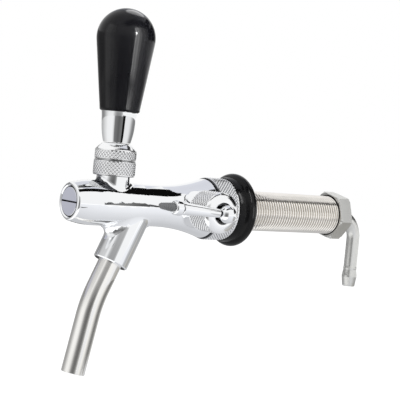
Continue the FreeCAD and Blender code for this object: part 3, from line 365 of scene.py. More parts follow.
def along_curve(start, end, bulge, steps=12):
    """Points of a shallow arc between two profile points; bulge is its depth to the left."""
    p, q = np.array(start, float), np.array(end, float)
    chord = q - p
    length = np.linalg.norm(chord)
    normal = np.array([-chord[1], chord[0]]) / length
    radius = (length ** 2 / 4 + bulge ** 2) / (2 * abs(bulge))
    half = math.asin(min(1, length / 2 / radius))
    points = []
    for t in np.linspace(-1, 1, steps + 1):
        a = t * half
        lift = radius * (math.cos(a) - math.cos(half))
        points.append(tuple((p + q) / 2 + chord / length * radius * math.sin(a)
                            + normal * lift * math.copysign(1, bulge)))
    return points


# Diamond knurl

def triangle(x):
    return 1 - np.abs(2 * (x - np.floor(x)) - 1)


EASE_SHARE = 0.4        # of a pitch, over which the knurl runs out at the wall's ends
GROOVE_SLOPE = 1.5      # how steeply a diamond's sides rise from its grooves
GROOVE_SHADE = 3.2      # how narrow the painted shade in its grooves is


def knurled(name, origin, axis, before, wall, after, replaced, pitch, depth, rows, count,
            painted_shade_strength):
    """A turned nut whose outer wall carries raised diamonds.

    before and after are the plain profile on either side of the wall, which runs at
    one radius between two distances, in this many rows. count is the points in each
    diamond's width. The grooves get painted shade in the cut layer.
    """
    radius, low, high = wall
    around = int(2 * math.pi * radius / pitch)
    columns = around * count
    steps = np.linspace(low, high, rows)
    levels = []

    def relief(r, distance, angles):
        turn = angles * around / (2 * math.pi)
        rise = (distance - low) / pitch
        height = np.minimum(triangle(turn + rise), triangle(turn - rise))
        run_out = EASE_SHARE * pitch
        ease = min(1.0, (distance - low) / run_out, (high - distance) / run_out)
        ease = max(ease, 0)
        cut = depth * (1 - np.clip(height * GROOVE_SLOPE, 0, 1))
        # painted shade, darkest at the bottom of each groove and eased out at the wall's ends
        levels.append(painted_shade_strength * ease * np.clip(1 - height * GROOVE_SHADE, 0, 1))
        return np.full_like(angles, r) - (cut * ease + 0.5 * depth * (1 - ease))

    points = [ring_points(origin, axis, before, columns)]
    points.append(ring_points(origin, axis, [(radius, s) for s in steps], columns, relief))
    points.append(ring_points(origin, axis, after, columns))
    cuts = np.concatenate([painted_shade_levels(before, columns), *levels, painted_shade_levels(after, columns)])
    total = len(before) + rows + len(after)
    return finish_piece(name, np.concatenate(points), grid_faces(total, columns, True), replaced,
                        50, cuts)


# Neck rings

X_AXIS, Y_AXIS, Z_AXIS = (1, 0, 0), (0, 1, 0), (0, 0, 1)
neck = (0, NECK_Y, 0)


def dome_arc(radius, start, end, steps):
    """Points of an arc about the lever ball's centre, by angles from the level."""
    return [(radius * math.cos(a), BALL_Z + radius * math.sin(a))
            for a in np.radians(np.linspace(start, end, steps))]


# The knurl grooves, inner faces and rounded rims of both rings carry painted shade
knurled("lock_ring", neck, Z_AXIS,
        [(8.95, 23.0, 1), (8.95, 14.8, 1), *shaded(arc((10.6, 15.3), 0.5, -90, -30, 3), 0.9)],
        (11.2, 15.2, 22.6),
        [*shaded(arc((10.6, 22.5), 0.5, 30, 90, 3), 1), (9.6, 23.0, 1)],
        ["neck_lock_ring"], pitch=2.0, depth=0.32, rows=52, count=12, painted_shade_strength=0.85)

knurled("bonnet", neck, Z_AXIS,
        [(4.4, 25.7, 1), (8.95, 25.7, 1), (8.95, 23.3, 1), (9.8, 23.3, 1),
         *shaded(arc((10.5, 23.8), 0.5, -90, -30, 3), 1)],
        (11.05, 23.7, 28.3),
        dome_arc(13.25, 34.6, 57.3, 9),
        ["bonnet_nut"], pitch=2.0, depth=0.32, rows=38, count=12, painted_shade_strength=0.85)


# Handle

lathe("ferrule", neck, Z_AXIS,
      [(4.05, 48.6), *dome_arc(13.55, 72.6, 57.9, 8),
       *along_curve((7.25, 32.6), (8.8, 42.0), -0.25, 10), (9.45, 48.1), (9.4, 48.6)],
      ["handle_ferrule"])

# The grip: rolled foot, straight taper and the round top that it runs into
TOP_RAD, TOP_Z = 15.6, 87.5
TAPER_LEAN = math.radians(7.36)
FOOT_RAD, FOOT_Z, TAPER_END_Z = 10.9, 51.5, 85.5
grip = [(6.45, 49.85), (8.45, 49.85), (8.45, 48.6), *arc((9.3, 50.0), 1.4, -90, 7, 8)]
grip += [(FOOT_RAD + t * (TOP_RAD * math.cos(TAPER_LEAN) - FOOT_RAD),
          FOOT_Z + t * (TAPER_END_Z - FOOT_Z)) for t in (0.33, 0.66)]
grip += [(TOP_RAD * math.cos(a), TOP_Z + TOP_RAD * math.sin(a))
         for a in np.linspace(-TAPER_LEAN, math.pi / 2 - 0.0005, 28)]
grip += [(POLE, 66.7), (6.45, 66.7)]
lathe("grip", neck, Z_AXIS, grip, ["handle_grip"], count=160)


# Side branch: knurled nut with its domed face, ball head, lever, knob and tip

branch = (0, BRANCH_Y, 0)
gland_dome = along_curve((10.7, 32.5), (6.1, 34.25), -0.55, 10)
# The nut's grooves, bore and mouth carry painted shade
knurled("gland_nut", branch, X_AXIS,
        [(5.8, 30.75, 1), (8.65, 30.75, 1), (8.65, 17.4, 1), *arc((10.7, 17.9), 0.5, -90, -20, 3)],
        (11.2, 17.8, 31.7),
        [(11.0, 32.0), *gland_dome, *arc((6.1, 33.95), 0.3, 75, 150, 3), (5.8, 33.6, 1),
         (5.8, 33.2, 1)],
        ["flow_gland_nut"], pitch=1.9, depth=0.36, rows=100, count=10, painted_shade_strength=0.95)

head_join = math.degrees(math.acos(HEAD_NECK_RAD / HEAD_RAD))
# The head's neck, down in the nut's mouth, carries painted shade
lathe("spindle", branch, X_AXIS,
      [(POLE, 7.6), (5.0, 7.6), (5.0, 13.6), (3.4, 13.6), (3.4, 15.4), (5.0, 15.4), (5.0, 19.6),
       (3.4, 19.6), (3.4, 21.4), (5.0, 21.4), (5.0, 28.05), (7.4, 28.05), (7.4, 29.85),
       (HEAD_NECK_RAD, 29.85, 1), (HEAD_NECK_RAD, 34.1, 1),
       *arc((0, HEAD_X), HEAD_RAD, -head_join, 89.9, 24)],
      ["flow_spindle"], count=96, closed=False)

lean = math.radians(LEVER_LEAN)
lever_origin = (HEAD_X, BRANCH_Y, 0)
lever_axis = (0, -math.cos(lean), math.sin(lean))
# The rod's narrow stud, in the gap before the ball, carries painted shade
lathe("lever_rod", lever_origin, lever_axis,
      [(POLE, 2.4, 1), (1.8, 2.4, 1), (1.8, 5.85, 1), (1.85, 5.9),
       *arc((2.1, 6.2), 0.3, -90, 0, 4), (3.3, 30.0), (3.1, 30.3), (1.5, 30.3), (1.5, 33.3),
       (POLE, 33.3)],
      ["flow_lever"], count=96, closed=False)
# The knob's face next to the rod carries painted shade
lathe("lever_knob", lever_origin, lever_axis,
      [(1.55, 33.4), (1.55, 30.3), (2.7, 30.3, 1), (2.75, 30.85, 1),
       *arc((3.15, 31.6), 0.8, -80, 0, 6), *arc((2.65, 34.2), 1.3, 0, 80, 8), (2.2, 35.7),
       (POLE, 35.7), (POLE, 33.4)],
      ["flow_lever_knob"], count=96)

# The tip: ribs that grow narrower towards its end
TIP_FOOT, TIP_LEN, TIP_RAD, TIP_TAPER = 35.7, 8.7, 2.4, 1.0
RIBS, RIB_PITCH = 6, 1.3
tip = [(POLE, TIP_FOOT), (2.3, TIP_FOOT)]
for k in range(RIBS):
    start = 36.0 + k * RIB_PITCH
    wide = TIP_RAD - TIP_TAPER * (start - TIP_FOOT) / TIP_LEN
    tip += [(wide - 0.18, start), (wide, start + 0.35), (wide - 0.03, start + 0.85),
            (wide - 0.2, start + 1.15)]
tip += [(1.3, 43.8), *arc((0.75, 43.85), 0.55, 0, 88, 5), (POLE, 44.4)]
lathe("lever_tip", lever_origin, lever_axis, tip, ["flow_lever_tip"], count=64, closed=False)


# Coupling nut and flange

centre_line = (0, 0, 0)
# The knurl grooves and the nut's face against the bell carry painted shade
knurled("clamp_collar", centre_line, Y_AXIS,
        [(11.5, -11.7), (11.5, -22.4), (9.65, -22.4), (9.65, -24.6, 1), (16.7, -24.6, 1),
         (17.1, -24.4, 0.9)],
        (17.5, -23.9, -12.3),
        [(17.3, -11.9), (17.0, -11.7)],
        ["coupling_nut"], pitch=1.85, depth=0.45, rows=80, count=10, painted_shade_strength=1.0)

flange = [(11.75, 0), (11.75, -11.7), (17.4, -11.7), *arc((17.4, -11.3), 0.4, -90, -25, 4)]
flange += [*arc((16.44, -4.1), 4.26, -62, 62, 22), *arc((17.1, -0.45), 0.45, 45, 90, 3)]
flange += [(15.4, 0), (15.2, -0.2), (14.1, -8.7), (13.95, -8.7), (13.95, 0)]
lathe("flange", centre_line, Y_AXIS, flange, ["wall_flange"], count=160)


# Shank: a real helical thread between its plain ends

def make_shank():
    pitch, crest, foot = 1.814, 11.45, 10.32
    count = 96
    front, rear, run_out = -18.9, 80.0, 1.2
    start, end = -18.4, 79.4
    # one turn: share of the pitch, radius and cut level, the painted shade that is darkest in the
    # thread's root
    shape = [(0.00, foot, 0.9), (0.08, foot + 0.08, 0.7), (0.27, crest - 0.16, 0.1),
             (0.31, crest - 0.03, 0), (0.34, crest, 0), (0.66, crest, 0), (0.69, crest - 0.03, 0),
             (0.73, crest - 0.16, 0.1), (0.92, foot + 0.08, 0.7)]
    turns = int((end - start) / pitch)
    points, cuts = [], []
    angles = np.arange(count) * 2 * math.pi / count
    for k in range(turns):
        for share, radius, cut in shape:
            y = start + (k + share + angles / (2 * math.pi)) * pitch
            ease = np.clip(np.minimum((y - front) / run_out, (rear - y) / run_out), 0, 1)
            reach = foot + (radius - foot) * ease
            points.append(np.stack([reach * np.cos(angles), np.clip(y, front, rear),
                                    -reach * np.sin(angles)], 1))
            cuts.append(np.full(count, cut))
    helix = np.concatenate(points)
    rows = len(points)
    faces = []
    step = len(shape)
    for i in range(rows - 1):
        for j in range(count):
            a, b = i * count + j, i * count + (j + 1) % count
            c, d = (i + 1) * count + (j + 1) % count, (i + 1) * count + j
            if j == count - 1:
                b += step * count
                c += step * count
                if c >= rows * count:
                    continue
            faces.append((a, b, c, d))
    inner = [(10.65, front), (7.8, front), (5.0, -12.9), (5.0, 67.05), (4.05, 68.0), (4.05, rear),
             (10.4, rear)]
    lining = ring_points(centre_line, Y_AXIS, inner, count)
    offset = len(helix)
    faces += [tuple(v + offset for v in face) for face in grid_faces(len(inner), count)]
    cuts.append(np.zeros(len(lining)))
    return finish_piece("threaded_shank", np.concatenate([helix, lining]), faces, ["shank"], 60,
                        cuts=np.concatenate(cuts))


make_shank()


# Bent tubes

def sweep(name, path, sections, replaced):
    """A tube along a path; sections are (distance, radius) runs, outside then inside."""
    count, look = 96, 0.3
    path = np.array(path, float)
    steps = np.linalg.norm(np.diff(path, axis=0), axis=1)
    reach = np.concatenate([[0], np.cumsum(steps)])
    angles = np.arange(count) * 2 * math.pi / count

    def place(distance):
        return np.array([np.interp(distance, reach, path[:, k]) for k in range(3)])

    rings = []
    side = np.array([1.0, 0, 0])
    for distance, radius in sections:
        ahead, behind = place(min(distance + look, reach[-1])), place(max(distance - look, 0))
        along = (ahead - behind) / np.linalg.norm(ahead - behind)
        other = np.cross(along, side)
        turn = np.outer(np.cos(angles), side) + np.outer(np.sin(angles), other)
        rings.append(place(distance) + radius * turn)
    return finish_piece(name, np.concatenate(rings), grid_faces(len(rings), count, True), replaced)


def bent_path(start, corner, end, radius, steps=24):
    """A straight run, an arc round the corner and another straight run, with their length."""
    start, corner, end = (np.array(p, float) for p in (start, corner, end))
    into = (corner - start) / np.linalg.norm(corner - start)
    out = (end - corner) / np.linalg.norm(end - corner)
    turn = math.acos(np.clip(into @ out, -1, 1))
    back = radius * math.tan(turn / 2)
    normal = out - into * (out @ into)
    normal /= np.linalg.norm(normal)
    first = corner - into * back
    centre = first + normal * radius
    points = [start, first]
    for k in range(1, steps + 1):
        a = turn * k / steps
        points.append(centre - normal * radius * math.cos(a) + into * radius * math.sin(a))
    points.append(end)
    lengths = np.linalg.norm(np.diff(np.array(points), axis=0), axis=1)
    return points, lengths.sum()


def down(angle, distance, origin):
    """The place this far below the origin, along a line that leans forward by the angle."""
    a = math.radians(angle)
    return np.array(origin, float) + distance * np.array([0, -math.sin(a), -math.cos(a)])


SPOUT_BEND, SPOUT_END_LEAN = 70, 11.3
spout_root = (0, SPOUT_Y, 0)
spout_corner = down(SPOUT_LEAN, 57.6, spout_root)
spout_path, spout_len = bent_path(down(SPOUT_LEAN, 20.8, spout_root), spout_corner,
                                  down(SPOUT_END_LEAN, 38.6, spout_corner), SPOUT_BEND)
outer = [(s, 6.35) for s in np.linspace(0.0, spout_len - 0.25, 60)]
inner = [(s, 5.5) for s in np.linspace(spout_len - 0.15, 0.0, 40)]
sweep("spout", spout_path, outer + [(spout_len, 6.1), (spout_len, 5.65)] + inner, ["spout_tube"])

TAIL_Y, TAIL_LOW, TAIL_BEND = 94.3, -43.3, 14
tail_path, tail_len = bent_path((0, 68, 0), (0, TAIL_Y, 0), (0, TAIL_Y, TAIL_LOW), TAIL_BEND)
bead = tail_len - 11.6
outer = [(s, 4.0) for s in np.linspace(0.0, bead - 0.4, 60)]
barb = [(bead - 0.1, 4.15), (bead + 0.3, 4.2), (bead + 0.9, 4.1), (bead + 1.4, 4.05),
        (tail_len - 7.3, 4.5), (tail_len - 6.9, 4.6), (tail_len - 5.7, 4.6),
        (tail_len - 5.4, 4.55), (tail_len - 3.0, 4.2), (tail_len - 0.5, 3.85), (tail_len, 3.6),
        (tail_len, 3.15)]
inner = [(s, 3.0) for s in np.linspace(tail_len - 0.2, 0.0, 50)]
sweep("tail", tail_path, outer + barb + inner, ["hose_tail"])


# Lock nut: turned corners and a countersunk mouth with painted shade

def hexagon_reach(flats, corner):
    """The radius of a hexagon at each angle, its first corner at this angle in degrees."""
    def reach(radius, distance, angles):
        off = (np.degrees(angles) + corner) % 60 - 30
        return np.minimum(flats / 2 / np.cos(np.radians(off)), radius)
    return reach


def hex_nut(name, origin, axis, replaced, flats, corner, length, bore, sink):
    """A nut this wide across its flats, with a countersink of this depth and painted shade at both
    mouths.
    """
    count = 360
    half = flats / 2
    far = half / math.cos(math.radians(30))
    end_of_chamfer = bore + sink + 0.02
    front = [(bore, sink + 0.4, 1), (bore, sink, 1), (bore + sink, 0.0, 1), (end_of_chamfer, 0.0)]
    outer = [(half - 1.2, 0.0), (half - 0.35, 0.0), (far - 1.15, 0.0), (far - 0.95, 0.08),
             (far, 0.66), (far + 1, 0.75), (far + 1, length - 0.75), (far, length - 0.66),
             (far - 0.95, length - 0.08), (far - 1.15, length), (half - 0.35, length),
             (half - 1.2, length)]
    rear = [(end_of_chamfer, length), (bore + sink, length, 1), (bore, length - sink, 1),
            (bore, length - sink - 0.4, 1)]
    points = [ring_points(origin, axis, front, count),
              ring_points(origin, axis, outer, count, hexagon_reach(flats, corner)),
              ring_points(origin, axis, rear, count)]
    rows = [*front, *outer, *rear]
    return finish_piece(name, np.concatenate(points), grid_faces(len(rows), count, True),
                        replaced, 30, painted_shade_levels(rows, count))


hex_nut("hexagon_nut", (0, 69.7, 0), Y_AXIS, ["lock_nut"],
        flats=25.4, corner=48.0, length=9.0, bore=11.5, sink=0.7)


# Solids that stay: smooth faces on the cast body and the plug, softened edges on the plug

# The plug's slot and the gap at its rim get painted shade from this material's mask
paint(nodes["front_plug"], "slotted_chrome")
bevel = nodes["front_plug"].modifiers.new("softened_edges", "BEVEL")
bevel.width = 0.12 * MM
bevel.segments = 3
bevel.limit_method = "ANGLE"
bevel.angle_limit = math.radians(30)
for name in ("faucet_body", "front_plug"):
    obj = nodes[name]
    obj.data.shade_smooth()
    normals = obj.modifiers.new("even_normals", "WEIGHTED_NORMAL")
    normals.keep_sharp = True


# Floor, studio cards, lamps and world; places in metres

FLOOR_Z = -0.3
FLOOR_HALF = 4
FLOOR_GLOW = 0.62       # what the floor adds for the camera and for reflections
SOFT_LIGHT = 0.6        # the world's light on the object
TRAY_NEAR = 0.022       # from a tray's centre to its near edge


def spanning(low, high, *levels):
    """A card's rows between two limits, from (place, level) or (place, level, level)."""
    return [(place, low, high, level[0], level[-1]) for place, *level in levels]


def at_level(level, *limits):
    """A card's rows at one level, from (place, low, high)."""
    return [(place, low, high, level, level) for place, low, high in limits]


def reaching(far, *levels):
    """A tray's rows out to one distance, from (azimuth, level)."""
    return [(azimuth, TRAY_NEAR, far, level) for azimuth, level in levels]


def smooth_run(run, steps):
    """The run's numbers followed through with a curve, with this many steps between two."""
    run = np.array(run, float)
    padded = np.concatenate([2 * run[:1] - run[1:2], run, 2 * run[-1:] - run[-2:-1]])
    rows = []
    for k in range(len(run) - 1):
        a, b, c, d = padded[k:k + 4]
        for s in np.arange(steps) / steps:
            rows.append(0.5 * (2 * b + (c - a) * s + (2 * a - 5 * b + 4 * c - d) * s ** 2
                               + (3 * b - a - 3 * c + d) * s ** 3))
    rows.append(run[-1])
    return np.array(rows)


def from_compass(azimuth, elevation):
    """A direction from the object; azimuth 0 is +Y and 90 is +X."""
    a, e = math.radians(azimuth), math.radians(elevation)
    return Vector((math.sin(a) * math.cos(e), math.cos(a) * math.cos(e), math.sin(e)))


def from_barrel(angle, lengthwise):
    """A direction by its angle round the body's axis, from +X up, and its share along +Y."""
    a, rest = math.radians(angle), math.sqrt(1 - lengthwise ** 2)
    return Vector((rest * math.cos(a), lengthwise, rest * math.sin(a)))


def beside(along, height):
    """A place in a flat sheet beside the body, in millimetres."""
    return Vector((0, along, height))


def show_levels(name, points, faces, levels, colour, from_front):
    """A mesh that glows at these levels, and only in reflections."""
    mesh = bpy.data.meshes.new(name)
    mesh.from_pydata(points, [], faces)
    layer = mesh.color_attributes.new("level", "FLOAT_COLOR", "POINT")
    for item, level in zip(layer.data, levels):
        item.color = (level * colour[0], level * colour[1], level * colour[2], 1)
    obj = bpy.data.objects.new(name, mesh)
    bpy.context.scene.collection.objects.link(obj)
    material, tree, shader = new_material(name)
    shader.inputs["Base Color"].default_value = (0, 0, 0, 1)
    shader.inputs["Specular IOR Level"].default_value = 0
    level = add(tree, "ShaderNodeVertexColor", layer_name="level")
    tree.links.new(level.outputs["Color"], shader.inputs["Emission Color"])
    shader.inputs["Emission Strength"].default_value = 1.0
    if from_front:
        # Alpha is 0 on the back, so the card shows from its front alone
        side = add(tree, "ShaderNodeNewGeometry")
        front = add(tree, "ShaderNodeMath", operation="SUBTRACT")
        front.inputs[0].default_value = 1.0
        tree.links.new(side.outputs["Backfacing"], front.inputs[1])
        tree.links.new(front.outputs[0], shader.inputs["Alpha"])
    mesh.materials.append(material)
    obj.visible_camera = False
    obj.visible_diffuse = False
    obj.visible_shadow = False
    obj.visible_transmission = False


def card(name, direction, centre, distance, run, colour=(1, 1, 1), across=10, between=6):
    """A curved studio card.

    Each row of run is (place, low, high, level at low, level at high), where direction
    takes the place and a value from low to high.
    """
    points, faces, levels = [], [], []
    rows = smooth_run(run, between)
    for place, low, high, dim, bright in rows:
        for k in range(across + 1):
            share = k / across
            away = direction(place, low + (high - low) * share)
            points.append(Vector(centre) + distance * away)
            levels.append(max(dim + (bright - dim) * share, 0))
    for i in range(len(rows) - 1):
        for k in range(across):
            corner = i * (across + 1) + k
            faces.append((corner, corner + 1, corner + across + 2, corner + across + 1))
    show_levels(name, points, faces, levels, colour, False)


def tray(name, centre, run, rise=0.016, colour=(1, 1, 1), between=4):
    """A level card round the centre that shows from one side.

    Each row of run is (azimuth, near, far, level). A card that rises outwards shows from
    above, and one that falls outwards shows from below.
    """
    points, faces, levels = [], [], []
    rows = smooth_run(run, between)
    for azimuth, near, far, level in rows:
        out = from_compass(azimuth, 0)
        points += [Vector(centre) + out * near,
                   Vector(centre) + out * far + Vector((0, 0, rise))]
        levels += [max(level, 0)] * 2
    for i in range(len(rows) - 1):
        face = (2 * i, 2 * i + 2, 2 * i + 3, 2 * i + 1)
        faces.append(face if rise > 0 else face[::-1])
    show_levels(name, points, faces, levels, colour, True)


def make_floor():
    mesh = bpy.data.meshes.new("floor")
    half = FLOOR_HALF
    corners = [(-half, -half, 0), (half, -half, 0), (half, half, 0), (-half, half, 0)]
    mesh.from_pydata(corners, [], [(0, 1, 2, 3)])
    floor = bpy.data.objects.new("floor", mesh)
    floor.location = (0, 0, FLOOR_Z)
    bpy.context.scene.collection.objects.link(floor)
    material, tree, shader = new_material("pale_floor")
    shader.inputs["Base Color"].default_value = (0.80, 0.80, 0.80, 1)
    shader.inputs["Roughness"].default_value = 1.0
    shader.inputs["Specular IOR Level"].default_value = 0
    rays = add(tree, "ShaderNodeLightPath").outputs
    seen = combine(tree, "MAXIMUM", rays["Is Camera Ray"], rays["Is Glossy Ray"])
    glow = add(tree, "ShaderNodeMath", operation="MULTIPLY")
    tree.links.new(seen, glow.inputs[0])
    glow.inputs[1].default_value = FLOOR_GLOW
    shader.inputs["Emission Color"].default_value = (1, 1, 1, 1)
    tree.links.new(glow.outputs[0], shader.inputs["Emission Strength"])
    mesh.materials.append(material)


def make_world():
    world = bpy.data.worlds.new("studio")
    bpy.context.scene.world = world
    world.use_nodes = True
    tree = world.node_tree
    soft = tree.nodes["Background"]
    soft.inputs["Color"].default_value = (1, 1, 1, 1)
    soft.inputs["Strength"].default_value = SOFT_LIGHT
    white = add(tree, "ShaderNodeBackground")
    white.inputs["Color"].default_value = (1, 1, 1, 1)
    white.inputs["Strength"].default_value = 1.0
    rays = add(tree, "ShaderNodeLightPath").outputs
    seen = combine(tree, "MAXIMUM", rays["Is Camera Ray"], rays["Is Glossy Ray"])
    seen = combine(tree, "MAXIMUM", seen, rays["Is Transmission Ray"])
    mix = add(tree, "ShaderNodeMixShader")
    tree.links.new(seen, mix.inputs[0])
    tree.links.new(soft.outputs[0], mix.inputs[1])
    tree.links.new(white.outputs[0], mix.inputs[2])
    tree.links.new(mix.outputs[0], tree.nodes["World Output"].inputs["Surface"])


def lamp(name, place, target, size, power):
    data = bpy.data.lights.new(name, "AREA")
    data.shape = "RECTANGLE"
    data.size, data.size_y = size
    data.energy = power
    obj = bpy.data.objects.new(name, data)
    obj.location = place
    turn = (Vector(target) - Vector(place)).to_track_quat("-Z", "Y")
    obj.rotation_euler = turn.to_euler()
    bpy.context.scene.collection.objects.link(obj)
    return obj


def highlight(name, azimuth, elevation, centre, distance, size, level, receivers,
              shape="RECTANGLE"):
    """A lamp that lights only the receivers, for a highlight of this level on them."""
    place = Vector(centre) + distance * from_compass(azimuth, elevation)
    obj = lamp(name, place, centre, size, 2 * math.pi * size[0] * size[1] * level)
    obj.data.shape = shape
    obj.visible_camera = False
    obj.light_linking.receiver_collection = receivers


def on_neck(height):
    """A place on the neck's axis."""
    return (0, -0.0854, height)


make_floor()
make_world()
key = lamp("key", place=(0.9, -0.7, 1.1), target=(0, -0.03, 0), size=(0.6, 0.9), power=7)
key.visible_glossy = False

# Above the body: the dark band along its top, pale violet over the flare
card("dark_band", from_barrel, (0, -0.060, 0.005), 0.30,
     at_level(0.004, (58.5, 0.52, 0.53), (60.5, 0.49, 0.66), (63, 0.474, 0.68), (67, 0.470, 0.68),
              (72, 0.478, 0.68), (80, 0.497, 0.68), (90, 0.522, 0.68), (102, 0.540, 0.68),
              (110, 0.56, 0.66), (114, 0.60, 0.61)), across=20)
card("dark_line", from_barrel, (0, -0.100, 0.005), 0.26,
     [(58, -0.30, 0.50, 0.02, 0.004), (63, -0.30, 0.56, 0.004, 0.004),
      (71, -0.30, 0.56, 0.01, 0.004), (76, -0.20, 0.56, 0.10, 0.004)], across=20)
card("violet_top", from_barrel, (0, -0.045, 0.005), 0.34,
     [(72, 0.0, 0.47, 0.74, 0.80), (90, 0.0, 0.50, 0.72, 0.78), (110, 0.0, 0.52, 0.70, 0.76),
      (140, 0.0, 0.55, 0.72, 0.80)], colour=(0.97, 0.985, 1.06))
card("shank_line", from_barrel, (0, 0.035, 0.005), 0.30,
     spanning(0.20, 0.96, (62, 0.01), (70, 0.004), (79, 0.01)))
card("shank_low", from_barrel, (0, 0.040, 0.0), 0.25,
     spanning(0.45, 0.88, (-125, 0.45), (-95, 0.40), (-70, 0.45), (-45, 0.60)),
     colour=(1.0, 0.98, 0.93))

# Close beside the body: a dark line half way up its side and a short one at its nose
BESIDE = (0.020, 0, 0)
card("thin_line", beside, BESIDE, MM,
     [(-90, 0.4, 0.6, 0.50, 0.50), (-87, 0.0, 1.4, 0.35, 0.25), (-82, 0.0, 2.3, 0.20, 0.24),
      (-75, 0.5, 3.0, 0.18, 0.20), (-68.5, 0.9, 3.6, 0.10, 0.16), (-62, 0.8, 2.7, 0.08, 0.12),
      (-57, 0.1, 1.6, 0.06, 0.08), (-50, -1.2, 0.3, 0.05, 0.07)])
card("nose_line", beside, BESIDE, MM,
     [(-109, -7.8, -6.4, 0.05, 0.05), (-107.5, -7.4, -6.2, 0.06, 0.06),
      (-106, -6.6, -5.5, 0.25, 0.25), (-104.5, -6.2, -5.4, 0.60, 0.60)], between=3)

# Below the body, behind it and round its sides
card("grey_low", from_barrel, (0, -0.05, 0.0), 0.28,
     [(-150, -0.40, 0.86, 0.62, 0.62), (-120, -0.40, 0.86, 0.60, 0.62),
      (-95, -0.40, 0.84, 0.68, 0.68), (-75, -0.32, 0.78, 0.72, 0.76),
      (-50, -0.24, 0.68, 0.80, 0.84), (-35, -0.24, 0.66, 0.84, 0.92),
      (-20, -0.24, 0.66, 0.90, 0.97), (-10, -0.24, 0.66, 0.96, 1.0)], colour=(0.98, 0.99, 1.02))
card("dark_rear", from_compass, (0, -0.02, 0.0), 0.9,
     [(-30, 8, 32, 0.02, 0.02), (0, 8, 34, 0.01, 0.01), (34, 8, 30, 0.02, 0.02)])
card("grey_back", from_compass, (0, -0.085, -0.05), 0.45,
     spanning(-31, -4, (-60, 0.46), (-35, 0.42, 0.44), (-20, 0.40, 0.43), (-4, 0.40, 0.42),
              (8, 0.40, 0.42), (20, 0.40, 0.43), (28, 0.46, 0.50), (36, 0.58, 0.62),
              (44, 0.74, 0.78), (52, 0.86, 0.90), (60, 0.94, 0.97), (68, 0.98, 1.0), (76, 1.0)),
     colour=(0.985, 0.995, 1.01))
tray("spout_shade", on_neck(-0.046),
     reaching(0.55, (-62, 0.80), (-44, 0.76), (-28, 0.66), (-14, 0.50), (-4, 0.35), (8, 0.25),
              (20, 0.20), (30, 0.20), (40, 0.31), (50, 0.50), (60, 0.74), (72, 0.94), (80, 1.0)),
     rise=-0.245, colour=(1.0, 0.995, 0.98))
card("far_side", from_compass, (0, -0.085, -0.04), 0.50,
     spanning(-34, 10, (274, 0.38, 0.36), (286, 0.30), (294, 0.06, 0.14), (306, 0.04, 0.12)),
     colour=(0.98, 0.99, 1.02))
ring_centre = (0, -0.085, -0.040)
card("side_ring_low", from_compass, ring_centre, 0.30,
     spanning(-24, 8, (99, 0.86, 0.70), (103, 0.68, 0.48), (109, 0.46, 0.25), (117, 0.28, 0.14),
              (125, 0.20, 0.13), (133, 0.17, 0.165), (141, 0.19, 0.23), (149, 0.27, 0.38),
              (157, 0.42, 0.63), (165, 0.60, 0.90), (176, 0.80, 1.0), (188, 0.93, 1.0), (200, 0.90),
              (212, 0.80, 0.66), (222, 0.66, 0.50), (232, 0.54, 0.38), (244, 0.46, 0.31),
              (258, 0.42, 0.33), (270, 0.42, 0.38), (284, 0.46, 0.45)))
card("side_ring_high", from_compass, ring_centre, 0.30,
     spanning(8, 35, (99, 0.70, 0.78), (103, 0.48, 0.68), (109, 0.25, 0.62), (117, 0.16, 0.62),
              (125, 0.16, 0.54), (133, 0.19, 0.48), (141, 0.26, 0.52), (149, 0.42, 0.66),
              (157, 0.66, 0.90), (165, 0.92, 0.88), (176, 1.0, 0.66), (188, 1.0, 0.66),
              (200, 0.90, 0.60), (212, 0.64, 0.62), (222, 0.45, 0.56), (232, 0.32, 0.40),
              (244, 0.26, 0.28), (258, 0.27, 0.29), (270, 0.36, 0.32), (284, 0.42, 0.36)))
card("plug_front", from_compass, (0, -0.111, 0.0), 0.09,
     spanning(-13, 6, (-146, 0.50, 0.54), (-122, 0.50, 0.54), (-100, 0.50, 0.54)),
     colour=(0.96, 0.97, 1.10))

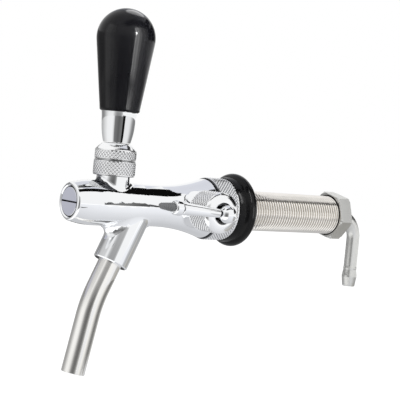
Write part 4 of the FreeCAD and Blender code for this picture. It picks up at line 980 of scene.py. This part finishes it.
# Round the ferrule, seen from above
tray("ferrule_tray", on_neck(0.020),
     reaching(0.42, (-62, 0.34), (-32, 0.28), (-16, 0.24), (0, 0.23), (12, 0.31), (24, 0.50),
              (34, 0.72), (44, 0.86), (62, 0.88), (79, 0.86)))
tray("ferrule_black", on_neck(0.020),
     reaching(0.42, (79, 0.012), (84, 0.006), (90, 0.006), (95, 0.012)))
tray("ferrule_grey", on_neck(0.020),
     [(95, TRAY_NEAR, 0.38, 0.18), (102, TRAY_NEAR, 0.36, 0.18), (110, TRAY_NEAR, 0.33, 0.155),
      (118, TRAY_NEAR, 0.31, 0.125), (128, TRAY_NEAR, 0.31, 0.155), (140, TRAY_NEAR, 0.31, 0.19),
      (148, TRAY_NEAR, 0.31, 0.24)])
tray("ferrule_white", on_neck(0.020),
     reaching(0.31, (148, 0.48), (154, 0.78), (162, 0.94), (185, 0.94), (200, 0.92), (212, 0.82),
              (224, 0.74), (236, 0.64), (250, 0.54), (272, 0.54)))


# Bright strips that show as highlights on the black pieces alone

def receivers_of(name, piece):
    collection = bpy.data.collections.new(name)
    collection.objects.link(bpy.data.objects[piece])
    return collection


black_grip = receivers_of("black_grip", "grip")
black_flange = receivers_of("black_flange", "flange")
handle = on_neck(0.110)
flange_centre = (0, -0.005, 0)
highlight("grip_edge", 87, 0, handle, 0.2, (0.008, 0.26), 9.0, black_grip)
highlight("grip_strip", 80, 0, handle, 0.2, (0.050, 0.26), 4.0, black_grip)
highlight("grip_fade", 69, 0, handle, 0.2, (0.050, 0.25), 2.2, black_grip)
highlight("grip_dim", 54, 0, handle, 0.2, (0.060, 0.24), 0.45, black_grip)
highlight("grip_left", 190, 0, handle, 0.2, (0.17, 0.26), 0.28, black_grip)
highlight("grip_soft", 194, 0, handle, 0.19, (0.08, 0.26), 0.28, black_grip)
highlight("grip_spot", 85, 0, on_neck(0.142), 0.18, (0.012, 0.018), 140, black_grip)
highlight("grip_top", -36, 57, on_neck(0.0875), 0.15, (0.085, 0.105), 1.4, black_grip, "ELLIPSE")
highlight("flange_line", 88, 44, flange_centre, 0.2, (0.014, 0.12), 8.0, black_flange)
highlight("flange_glow", 60, 0, flange_centre, 0.2, (0.056, 0.10), 2.0, black_flange)

bpy.context.scene.view_settings.view_transform = "Standard"
